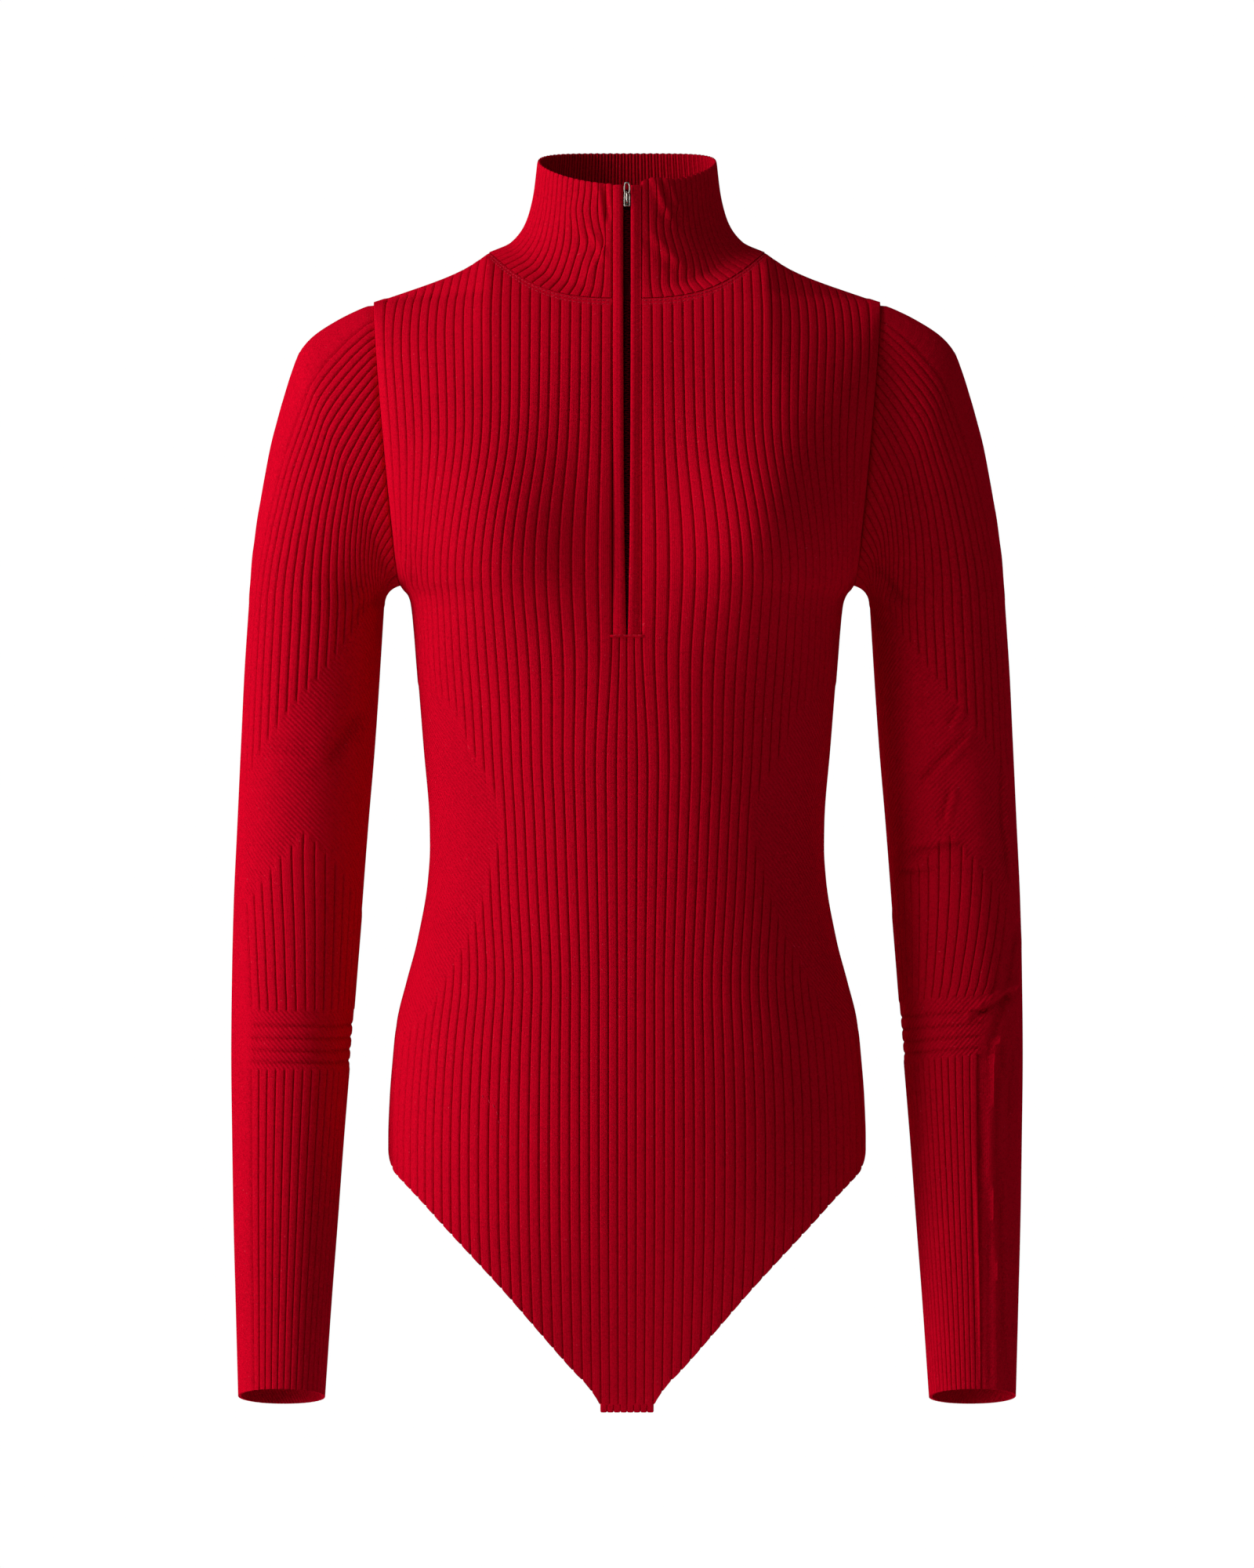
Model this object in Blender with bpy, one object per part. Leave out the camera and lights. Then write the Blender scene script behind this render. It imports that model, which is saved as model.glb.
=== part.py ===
"""Base layer bodysuit: a long-sleeved rib-knit bodysuit with a stand collar and a short front zip.

The garment is filled out as if worn, with no wearer inside. It is modelled in millimetres and turned
into metres when the meshes are made. The origin is between the shoulders, level with the points where
the shoulder seams meet the collar. The front faces -Y, the wearer's left side is +X, and +Z is up.
"""

import math

import bmesh
import bpy
import numpy as np

MM = 0.001

# Walls and gaps
WALL = 2.2
RIB_RISE = 1.0
PLAIN_DROP = 0.4
SEAM_GAP = 0.4
HALF_GAP = SEAM_GAP / 2

# Ribs
PANEL_RIBS = 27
BRIDGE_RIBS = 2
ARM_RIBS = 22
FOREARM_RIBS = 15
COLLAR_RIBS = 38
GUSSET_RIBS = 8
# Half ribs of a panel that lie at the collar's side, and those where its plain inside has a column
NECK_STEP = 25
INNER_STEPS = (4, 9, 14, 19, 25, 31, 37, 43, 49, 54)

# The panels' columns keep their places above this height
COLUMN_TOP_Z = -28.0

# Body levels: height, half width, front depth, back depth, roundness of the section
BODY = (
    (30.0, 149.0, 78.0, 84.0, 2.0),
    (-28.0, 143.6, 81.0, 88.0, 2.0),
    (-60.0, 140.7, 85.0, 93.0, 2.0),
    (-110.0, 136.2, 89.0, 96.0, 2.0),
    (-160.0, 131.6, 92.0, 94.0, 2.1),
    (-189.8, 128.9, 92.0, 91.0, 2.2),
    (-195.0, 124.8, 91.5, 90.0, 2.25),
    (-200.0, 122.9, 91.0, 89.0, 2.3),
    (-213.0, 121.4, 90.0, 87.0, 2.3),
    (-235.0, 119.6, 88.5, 83.0, 2.3),
    (-280.0, 116.0, 85.0, 73.0, 2.3),
    (-324.0, 112.5, 82.5, 67.0, 2.3),
    (-338.0, 112.3, 82.5, 66.0, 2.3),
    (-356.0, 113.4, 83.0, 68.0, 2.3),
    (-391.0, 119.5, 87.0, 78.0, 2.3),
    (-413.5, 125.5, 90.0, 86.0, 2.3),
    (-436.0, 131.0, 93.0, 95.0, 2.3),
    (-458.0, 133.3, 95.0, 104.0, 2.3),
    (-480.0, 135.0, 95.0, 111.0, 2.3),
    (-503.0, 135.8, 93.5, 115.0, 2.3),
    (-540.0, 135.8, 86.0, 113.0, 2.3),
    (-580.0, 134.0, 69.0, 98.0, 2.3),
    (-615.0, 131.0, 47.0, 73.0, 2.3),
    (-640.0, 129.0, 24.0, 47.0, 2.3),
    (-654.0, 128.0, 6.0, 26.0, 2.3),
    (-670.0, 127.0, -16.0, 2.0, 2.3),
)

# Shoulder seam seen from the front: distance from the middle, height
SHOULDER = (
    (78.6, 0.0),
    (83.0, -3.1),
    (91.0, -8.2),
    (100.0, -12.5),
    (112.0, -17.2),
    (124.0, -21.4),
    (143.6, -28.0),
    (150.0, -30.0),
)
SHOULDER_ROLL = 75.0

# Neckline
NECK_FRONT_DROP = 31.5
NECK_BACK_RISE = 4.0
TRAPEZIUS_FRONT = -3.4
TRAPEZIUS_BACK = 17.0
COLLAR_TOP_HALF_WIDTH = 51.0
COLLAR_TOP_HALF_DEPTH = 54.0
COLLAR_TOP_CENTRE = (2.0, 47.5)
COLLAR_TOP_TILT = 15.0
# How far the collar still flares out towards its seam: share of height, share of flare
COLLAR_FLARE = (
    (0.0, 1.0),
    (0.11, 0.55),
    (0.3, 0.27),
    (0.48, 0.15),
    (0.67, 0.075),
    (0.86, 0.03),
    (1.0, 0.0),
)
COLLAR_ROWS = (0.0, 0.11, 0.4, 1.0)
COLLAR_INNER_STEP = 4

# Cups: distance from the middle, height, rise, and spread sideways, upwards and downwards
CUP_X = 82.0
CUP_Z = -170.0
CUP_RISE = 33.0
CUP_SPREAD_X = 36.0
CUP_SPREAD_UP = 52.0
CUP_SPREAD_DOWN = 34.0

# Leg line: height, distance from the middle
LEG_LINE = (
    (-505.0, 136.2),
    (-511.5, 135.0),
    (-519.0, 132.0),
    (-526.0, 124.6),
    (-533.5, 116.5),
    (-542.0, 108.2),
    (-583.0, 70.2),
    (-608.4, 49.3),
    (-633.3, 29.4),
    (-640.0, 23.6),
    (-646.6, 19.3),
    (-651.0, 16.8),
    (-654.0, 15.6),
)
CROTCH_Z = -654.0

# Width of one rib at the middle of the panels: height, width
RIB_PITCH = (
    (-40.0, 6.0),
    (-79.0, 6.3),
    (-124.0, 7.3),
    (-168.0, 7.9),
    (-213.0, 7.1),
    (-258.0, 6.2),
    (-302.0, 5.8),
    (-347.0, 5.5),
    (-391.0, 5.2),
    (-525.0, 5.2),
    (-654.0, 4.9),
)

# Plain side panel at the waist: height, distance of its edge from the middle
WAIST_PANEL = (
    (-235.0, 150.0),
    (-249.0, 112.0),
    (-263.0, 95.0),
    (-284.0, 87.0),
    (-299.0, 78.0),
    (-322.0, 70.2),
    (-329.0, 70.2),
    (-343.0, 74.6),
    (-365.0, 80.4),
    (-386.0, 88.5),
    (-405.0, 98.7),
    (-421.0, 106.7),
    (-436.0, 118.0),
    (-449.0, 150.0),
)
PANEL_FADE = 4.0

# Zip
SLOT_HALF_WIDTH = 8.2
SLOT_BOTTOM = -221.0
FAN_LENGTH = 80.0
WELT_INNER = 2.1
WELT_OUTER = 7.8
WELT_RISE = 0.9
WELT_DEPTH = 1.9
WELT_SIDES = 10
WELT_SQUARENESS = 0.7
TAPE_HALF_WIDTH = 8.0
TAPE_TOP_DEPTH = 3.4
TAPE_BOTTOM_DEPTH = 4.2
TAPE_TOP_CUT = 2.0
TAPE_BOTTOM_RUN = 4.0
ZIP_COLLAR_SHARES = (1.0, 0.75, 0.45, 0.2)
ZIP_BODY_ROWS = 13

# Sleeve head: its sections turn about a pivot in the armpit, from the armhole to level
PIVOT_X = 128.0
PIVOT_Z = -199.6
PIVOT_RADIUS = 9.8
ARMHOLE_TILT = 5.2
# Sleeve head: angle from upright, outer radius
SLEEVE_HEAD = (
    (5.2, 171.4),
    (8.0, 169.2),
    (13.3, 164.8),
    (18.6, 159.9),
    (22.3, 154.1),
    (24.9, 147.3),
    (30.3, 134.2),
    (36.6, 122.0),
    (47.7, 106.0),
    (56.8, 97.6),
    (69.8, 90.5),
    (84.1, 87.4),
    (90.0, 87.4),
)
ARMHOLE_OUTER_RADIUS = 172.3
ARMHOLE_HALF_DEPTH = 55.0
ARMHOLE_ROUNDNESS = 2.2
# Share of the head's turn over which its depth changes from the armhole's to the arm's
HEAD_DEPTH_END = 0.8
# Arm: height, centre to the side, half width, centre front to back, half depth
ARM = (
    (-199.6, 176.6, 38.8, 4.0, 45.5),
    (-235.0, 179.0, 38.9, 6.0, 44.5),
    (-280.0, 181.8, 38.5, 9.0, 43.0),
    (-324.0, 184.8, 37.7, 11.0, 41.0),
    (-369.0, 187.5, 37.0, 10.0, 40.0),
    (-413.5, 189.5, 35.7, 5.0, 39.0),
    (-458.0, 191.0, 34.0, -3.0, 37.0),
    (-502.6, 192.0, 31.8, -12.0, 34.0),
    (-547.0, 192.8, 29.7, -20.0, 30.5),
    (-592.0, 193.6, 27.3, -26.0, 27.0),
    (-646.3, 194.4, 24.6, -32.0, 24.0),
)
CUFF_Z = -646.3
CUFF_SLOPE = 0.29
CUFF_SLOPE_START = -540.0
ARM_ROUNDNESS = 2.1
# Plain strip along the outside of the sleeve: height, share of the half round
OUTER_STRIP = ((0.0, 0.18), (-300.0, 0.19), (-400.0, 0.30), (-440.0, 0.34), (-650.0, 0.34))
ELBOW_JOIN_TOP = -312.0
ELBOW_JOIN_BOTTOM = -324.0
BAND_TOP = -430.0
BAND_BOTTOM = -461.0
# Ribs stop above the elbow at a line that rises from the sleeve's outside to its inside, and start
# again below it in an arch: heights, place of the arch's peak and slopes, per share of the half round
RIB_STOP_Z = -323.2
RIB_STOP_RISE = 159.0
RIB_START_Z = -326.0
RIB_START_PEAK = 0.46
RIB_START_OUTER_FALL = 230.0
RIB_START_INNER_FALL = 96.0
# Rows of the sleeve: angles of the head's rings, then heights
HEAD_ROWS = (5.2, 13.3, 19.5, 24.9, 36.0, 56.0, 90.0)
UPPER_ARM_ROWS = (-255.0, ELBOW_JOIN_TOP)
FOREARM_ROWS = (ELBOW_JOIN_BOTTOM, -372.0, -424.0, BAND_TOP, BAND_BOTTOM, -467.0, -550.0, CUFF_Z)
SLEEVE_INNER_COLUMNS = 16

# Crotch gusset
GUSSET_HALF_WIDTH = 15.2
GUSSET_CLEARANCE = 0.9
GUSSET_WALL = 1.5
GUSSET_RIB_RISE = 0.5
GUSSET_INNER_STEP = 4
GUSSET_SIDE_HEIGHTS = (-641.0, -646.5, -651.5)
# Lower side of the gusset under the crotch: front to back, height
GUSSET_DIP = ((1.5, -656.4), (5.5, -659.6), (11.0, -660.4), (16.5, -658.6))

# Slider and its pull
SLIDER_Z = 20.4
SLIDER_LENGTH = 8.2
SLIDER_HALF_WIDTH = 1.75
SLIDER_TOP_RISE = 0.5
SLIDER_NOSE = 0.9
SLIDER_TAPE_GAP = 0.4
CROWN_HALF_WIDTH = 0.7
CROWN_START = 1.2
CROWN_POST = 1.0
CROWN_TIP = 0.55
CROWN_ROOF = 0.7
CROWN_CHAMFER = 0.6
CROWN_SUNK = 1.2
PULL_AXIS_ALONG = 6.9
PULL_AXIS_RISE = 1.75
PULL_WIRE = 0.4
PULL_LENGTH = 6.8
PULL_HALF_WIDTH = 1.5
PULL_CORNER = 1.0
PULL_CLEARANCE = 0.35

RED = (0.42, 0.008, 0.025, 1.0)
DARK_TAPE = (0.05, 0.004, 0.01, 1.0)
STEEL = (0.55, 0.53, 0.50, 1.0)

FRONT = -1
BACK = 1


def smooth(table, column, at):
    """A table's column read along its first column, as a curve that never overshoots its rows."""
    rows = sorted(table)
    xs = np.array([row[0] for row in rows])
    ys = np.array([row[column] for row in rows])
    at = np.clip(np.asarray(at, float), xs[0], xs[-1])
    step = np.diff(xs)
    slope = np.diff(ys) / step
    tangent = np.zeros(len(xs))
    tangent[0], tangent[-1] = slope[0], slope[-1]
    same = slope[:-1] * slope[1:] > 0
    mean = 2 * slope[:-1] * slope[1:] / np.where(same, slope[:-1] + slope[1:], 1)
    tangent[1:-1] = np.where(same, mean, 0)
    i = np.clip(np.searchsorted(xs, at, side="right") - 1, 0, len(xs) - 2)
    t = (at - xs[i]) / step[i]
    return (
        ys[i] * (1 + 2 * t) * (1 - t) ** 2
        + tangent[i] * step[i] * t * (1 - t) ** 2
        + ys[i + 1] * t * t * (3 - 2 * t)
        + tangent[i + 1] * step[i] * t * t * (t - 1)
    )


def ease(low, high, at):
    t = np.clip((np.asarray(at, float) - low) / (high - low), 0, 1)
    return t * t * (3 - 2 * t)


def superellipse(share, roundness):
    """Depth left at this share of the half width, both from 0 to 1."""
    return np.clip(1 - np.clip(share, 0, 1) ** roundness, 0, 1) ** (1 / roundness)


# The body's surface


def column_x(u, z):
    """Where a column of the panel lies at this height: u is 0 at the middle and 1 at the edge."""
    z = np.minimum(z, COLUMN_TOP_Z)
    bridge = BRIDGE_RIBS / PANEL_RIBS
    pitch = smooth(RIB_PITCH, 1, z)
    fanned = ease(0, FAN_LENGTH, SLOT_BOTTOM - z)
    inner = SLOT_HALF_WIDTH + (BRIDGE_RIBS * pitch - SLOT_HALF_WIDTH) * fanned
    width = smooth(BODY, 1, z)
    size = np.abs(u)
    t = np.clip((size - bridge) / (1 - bridge), 0, 1)
    first = pitch * (PANEL_RIBS - BRIDGE_RIBS) * 2 / (math.pi * (width - inner))
    swing = first * t + (1 - first) * t * t
    outer = inner + (width - inner) * np.sin(math.pi / 2 * swing)
    return np.sign(u) * np.where(size < bridge, inner * size / bridge, outer)


NECK_HALF_WIDTH = float(column_x(NECK_STEP / (2 * PANEL_RIBS), COLUMN_TOP_Z))


def armhole_half_depth(z):
    lean = math.cos(math.radians(ARMHOLE_TILT))
    centre = (ARMHOLE_OUTER_RADIUS + PIVOT_RADIUS) / 2 * lean + PIVOT_Z
    half = (ARMHOLE_OUTER_RADIUS - PIVOT_RADIUS) / 2 * lean
    return ARMHOLE_HALF_DEPTH * superellipse(np.abs(z - centre) / half, ARMHOLE_ROUNDNESS)


def neckline(x, face):
    height = -NECK_FRONT_DROP if face == FRONT else NECK_BACK_RISE
    return height * (1 - np.clip(np.abs(x) / NECK_HALF_WIDTH, 0, 1) ** 3)


def top_line(x, face):
    """Height at which front and back would meet over this place, also inside the neck."""
    rise = TRAPEZIUS_FRONT if face == FRONT else TRAPEZIUS_BACK
    x = np.abs(x)
    inside = rise * (1 - np.clip(x / NECK_HALF_WIDTH, 0, 1) ** 2)
    return np.where(x < NECK_HALF_WIDTH, inside, smooth(SHOULDER, 1, x))


def panel_top(x, face):
    x = np.abs(x)
    return np.where(x < NECK_HALF_WIDTH, neckline(x, face), smooth(SHOULDER, 1, x))


def cups(x, z):
    spread_z = np.where(z > CUP_Z, CUP_SPREAD_UP, CUP_SPREAD_DOWN)
    return CUP_RISE * np.exp(
        -((np.abs(x) - CUP_X) ** 2) / (2 * CUP_SPREAD_X**2) - (z - CUP_Z) ** 2 / (2 * spread_z**2)
    )


def body_point(x, z, face):
    """The point of the front or back at this place, as seen from the front."""
    width = smooth(BODY, 1, z)
    share = np.clip(np.abs(x) / width, 0, 1)
    below = np.clip((top_line(x, face) - z) / SHOULDER_ROLL, 0, 1)
    full = smooth(BODY, 2 if face == FRONT else 3, z) * np.sqrt(1 - (1 - below) ** 2)
    edge = armhole_half_depth(z)
    depth = edge + (full - edge) * superellipse(share, smooth(BODY, 4, z))
    if face == FRONT:
        depth = depth + cups(x, z) * (1 - share**4) * below
    return np.stack(np.broadcast_arrays(x, face * depth, z), axis=-1)


def column_bottom(u):
    """Height at which a column meets the leg line or the crotch."""
    heights = np.linspace(LEG_LINE[0][0], CROTCH_Z, 240)
    leg = smooth(LEG_LINE, 1, heights)
    found = []
    for size in np.abs(np.atleast_1d(u)):
        outside = column_x(size, heights) - leg
        k = int(np.argmax(outside > 0))
        if outside[0] > 0:
            found.append(heights[0])
        elif outside.max() <= 0:
            found.append(CROTCH_Z)
        else:
            share = outside[k - 1] / (outside[k - 1] - outside[k])
            found.append(heights[k - 1] + share * (heights[k] - heights[k - 1]))
    return np.array(found)


ARMPIT_Z = PIVOT_Z + PIVOT_RADIUS * math.cos(math.radians(ARMHOLE_TILT))
WAIST_Z = -335.0
# Rows of a panel: shares of its length above the armpit, heights from there to the waist, and shares of
# its length below the waist
UPPER_ROWS = (0.0, 0.05, 0.19, 0.42, 0.68, 0.9)
MIDDLE_ROWS = (ARMPIT_Z, SLOT_BOTTOM, -278.0)
LOWER_ROWS = (0.0, 0.25, 0.5, 0.75, 0.93, 1.0)
SLOT_ROW = len(UPPER_ROWS) + 1
WAIST_ROW = len(UPPER_ROWS) + len(MIDDLE_ROWS)


def panel_heights(columns, face):
    """Heights of every row of a panel at each of its columns."""
    top = panel_top(column_x(columns, COLUMN_TOP_Z), face)
    bottom = column_bottom(columns)
    rows = [top + (ARMPIT_Z - top) * share for share in UPPER_ROWS]
    rows += [np.full(len(columns), height) for height in MIDDLE_ROWS]
    rows += [WAIST_Z + (bottom - WAIST_Z) * share for share in LOWER_ROWS]
    return np.array(rows)


def unit(vectors):
    return vectors / np.maximum(np.linalg.norm(vectors, axis=-1, keepdims=True), 1e-9)


def body_normal(x, z, face):
    """Outward unit normal of the front or back."""
    reach = 0.5
    across = body_point(x + reach, z, face) - body_point(x - reach, z, face)
    down = body_point(x, z + reach, face) - body_point(x, z - reach, face)
    return unit(np.cross(across, down)) * -face


def grid_normals(points, toward):
    """Unit normals of a grid, on the side that the vectors in toward point to."""
    down = np.gradient(points, axis=0)
    across = np.gradient(points, axis=1)
    normals = unit(np.cross(down, across))
    facing = np.sign((normals * toward).sum(axis=-1, keepdims=True))
    return normals * np.where(facing == 0, 1, facing)


def panel_ribs(x, z, step):
    """How far the surface drops: none on a rib, all of the rise in a groove, part on plain knit."""
    plain = ease(-PANEL_FADE, PANEL_FADE, np.abs(x) - smooth(WAIST_PANEL, 1, z))
    ribbed = np.where(step % 2 == 0, RIB_RISE, 0.0)
    return ribbed + (PLAIN_DROP - ribbed) * plain


def body_panel(face):
    """Outer and inner grids of the front or back panel, by row and by half rib."""
    steps = np.arange(-2 * PANEL_RIBS, 2 * PANEL_RIBS + 1)
    columns = steps / (2 * PANEL_RIBS)
    heights = panel_heights(columns, face)
    x = column_x(columns[None, :], heights)
    base = body_point(x, heights, face)
    normals = body_normal(x, heights, face)
    armpit = len(UPPER_ROWS)
    ends = np.abs(x[0]) >= NECK_HALF_WIDTH
    normals[0, ends, 1] = 0
    normals[armpit:, [0, -1], 1] = 0
    normals = unit(normals)
    drop = panel_ribs(x, heights, steps[None, :])
    outer = base - normals * drop[..., None]
    inner = base - normals * WALL
    # Seam edges: the armhole lies in its own plane, and the side and shoulder seams at Y = 0
    for column, side in ((0, -1), (-1, 1)):
        hole = (slice(0, armpit + 1), column)
        inward = unit(armhole_centre(side) - base[hole])
        seam = base[hole] - armhole_normal(side) * HALF_GAP
        outer[hole] = seam + inward * drop[hole][:, None]
        inner[hole] = seam + inward * WALL
    for grid in (outer, inner):
        grid[..., 1] = face * np.maximum(face * grid[..., 1], HALF_GAP)
        grid[0, ~ends] += unit(grid[1, ~ends] - grid[0, ~ends]) * HALF_GAP
    return steps, outer, inner


# The sleeve's surface


def armhole_centre(side):
    radius = (ARMHOLE_OUTER_RADIUS + PIVOT_RADIUS) / 2
    tilt = math.radians(ARMHOLE_TILT)
    across, up = radius * math.sin(tilt), radius * math.cos(tilt)
    return np.array([side * (PIVOT_X + across), 0, PIVOT_Z + up])


def armhole_normal(side):
    tilt = math.radians(ARMHOLE_TILT)
    return np.array([side * math.cos(tilt), 0, -math.sin(tilt)])


def half_round(half_width, half_depth, roundness, shares):
    """Points of half a section from its outer to its inner side, at these shares of its length."""
    angle = np.linspace(0, math.pi, 181)
    across = np.sign(np.cos(angle)) * np.abs(np.cos(angle)) ** (2 / roundness) * half_width
    depth = np.abs(np.sin(angle)) ** (2 / roundness) * half_depth
    length = np.concatenate([[0], np.cumsum(np.hypot(np.diff(across), np.diff(depth)))])
    at = np.interp(shares, length / length[-1], angle)
    return np.interp(at, angle, across), np.interp(at, angle, depth)


def sleeve_section(station, shares):
    """One ring of the sleeve at +X: station is a head angle in degrees above 0, or else a height.

    The shares run from 0, outside, over the front to 1, inside, and on over the back to 2."""
    front = shares <= 1
    half_shares = np.where(front, shares, 2 - shares)
    if station > 0:
        outer_radius = float(smooth(SLEEVE_HEAD, 1, station))
        turned = (station - ARMHOLE_TILT) / (90 - ARMHOLE_TILT)
        half_width = (outer_radius - PIVOT_RADIUS) / 2
        radius = (outer_radius + PIVOT_RADIUS) / 2
        deepened = float(ease(0, HEAD_DEPTH_END, turned))
        half_depth = ARMHOLE_HALF_DEPTH + (ARM[0][4] - ARMHOLE_HALF_DEPTH) * deepened
        centre_y = ARM[0][3] * float(ease(0, 1, turned))
        roundness = ARMHOLE_ROUNDNESS + (ARM_ROUNDNESS - ARMHOLE_ROUNDNESS) * turned
        tilt = math.radians(station)
        centre = (PIVOT_X + radius * math.sin(tilt), PIVOT_Z + radius * math.cos(tilt))
        out = (math.sin(tilt), math.cos(tilt))
        slope = 0.0
    else:
        centre_x, half_width, centre_y, half_depth = (
            float(smooth(ARM, column, station)) for column in (1, 2, 3, 4)
        )
        roundness = ARM_ROUNDNESS
        centre = (centre_x, station)
        out = (1.0, 0.0)
        slope = CUFF_SLOPE * float(ease(CUFF_SLOPE_START, CUFF_Z, station))
    across, depth = half_round(half_width, half_depth, roundness, half_shares)
    depth = np.where(front, -depth, depth)
    x = centre[0] + out[0] * across
    z = centre[1] + out[1] * across - slope * depth
    return np.stack([x, centre_y + depth, z], axis=-1)


def strip_share(station):
    """Share of the half round that the plain outer strip takes. The head has the top row's."""
    return float(smooth(OUTER_STRIP, 1, min(station, 0.0)))


def sleeve_steps(ribs, strip):
    """Half-rib columns right round the sleeve: their shares and whether each lies in a groove."""
    half = strip + (1 - strip) * np.arange(2 * ribs + 1) / (2 * ribs)
    low = np.concatenate([[0], half])
    groove = np.concatenate([[0], (np.arange(2 * ribs + 1) % 2 == 0)])
    shares = np.concatenate([low, 2 - low[-2:0:-1]])
    return shares, np.concatenate([groove, groove[-2:0:-1]]).astype(bool)


def sleeve_drop(station, shares, groove):
    """Ribs stop at a slanted line above the elbow, start again in an arch, and skip one band."""
    size = np.where(shares <= 1, shares, 2 - shares)
    stop = RIB_STOP_Z + RIB_STOP_RISE * size
    past_peak = size - RIB_START_PEAK
    fall = np.where(past_peak < 0, -RIB_START_OUTER_FALL, RIB_START_INNER_FALL) * past_peak
    in_band = BAND_BOTTOM <= station <= BAND_TOP
    below = (station < RIB_START_Z - fall) & (not in_band)
    ribbed = (station > 0) | (station > stop) | below
    plain = ~ribbed | (size < strip_share(station) - 1e-6)
    return np.where(plain, PLAIN_DROP, np.where(groove, RIB_RISE, 0.0))


def sleeve_grid(stations, ribs, side):
    """Outer rings of a stretch of sleeve, with the plain rings that its ribs rise from."""
    base, drops = [], []
    for station in stations:
        shares, groove = sleeve_steps(ribs, strip_share(station))
        base.append(sleeve_section(station, shares))
        drops.append(sleeve_drop(station, shares, groove))
    base = np.array(base) * np.array([side, 1, 1])
    return base, np.array(drops)


def ring_normals(base):
    around = np.roll(base, -1, axis=1) - np.roll(base, 1, axis=1)
    down = np.gradient(base, axis=0)
    normals = unit(np.cross(down, around))
    centre = base.mean(axis=1, keepdims=True)
    facing = np.sign((normals * (base - centre)).sum(axis=-1, keepdims=True))
    return normals * np.where(facing == 0, 1, facing)


# Meshes


class Wall:
    """Collects the points and faces of one closed wall."""

    def __init__(self):
        self.points = []
        self.faces = []

    def add(self, grid):
        """Adds a grid of points and gives back their numbers in the same layout."""
        grid = np.asarray(grid, float)
        first = len(self.points)
        self.points.extend(grid.reshape(-1, 3))
        return np.arange(first, len(self.points)).reshape(grid.shape[:-1])

    def sheet(self, numbers, closed=False):
        rows, columns = numbers.shape
        for i in range(rows - 1):
            for j in range(columns if closed else columns - 1):
                k = (j + 1) % columns
                near, far = numbers[i], numbers[i + 1]
                self.faces.append((near[j], near[k], far[k], far[j]))

    def strip(self, first, first_at, second, second_at):
        """Joins two edges with different numbers of points by triangles, in the order of their places."""
        i = j = 0
        while i < len(first) - 1 or j < len(second) - 1:
            ahead = i < len(first) - 1
            if ahead and j < len(second) - 1:
                ahead = first_at[i + 1] + first_at[i] <= second_at[j + 1] + second_at[j]
            if ahead:
                self.faces.append((first[i], first[i + 1], second[j]))
                i += 1
            else:
                self.faces.append((first[i], second[j + 1], second[j]))
                j += 1

    def drop_unused(self):
        """Leaves out the points of the slot, which no face uses."""
        used = sorted(set(number for face in self.faces for number in face))
        order = {number: place for place, number in enumerate(used)}
        self.points = [self.points[number] for number in used]
        self.faces = [tuple(order[number] for number in face) for face in self.faces]

    def make(self, name, material, smooth_angle=40):
        mesh = bpy.data.meshes.new(name)
        points = [tuple(point * MM) for point in self.points]
        faces = [tuple(int(number) for number in face) for face in self.faces]
        mesh.from_pydata(points, [], faces)
        turn_outward(mesh)
        mesh.materials.append(material)
        mesh.shade_smooth()
        mesh.set_sharp_from_angle(angle=math.radians(smooth_angle))
        thing = bpy.data.objects.new(name, mesh)
        bpy.context.scene.collection.objects.link(thing)
        return thing


def turn_outward(mesh):
    work = bmesh.new()
    work.from_mesh(mesh)
    bmesh.ops.recalc_face_normals(work, faces=work.faces)
    if work.calc_volume(signed=True) < 0:
        bmesh.ops.reverse_faces(work, faces=work.faces)
    work.to_mesh(mesh)
    work.free()


def material(name, colour, roughness, metallic=0.0):
    made = bpy.data.materials.new(name)
    made.use_nodes = True
    shader = made.node_tree.nodes["Principled BSDF"]
    shader.inputs["Base Color"].default_value = colour
    shader.inputs["Roughness"].default_value = roughness
    shader.inputs["Metallic"].default_value = metallic
    return made


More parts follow.
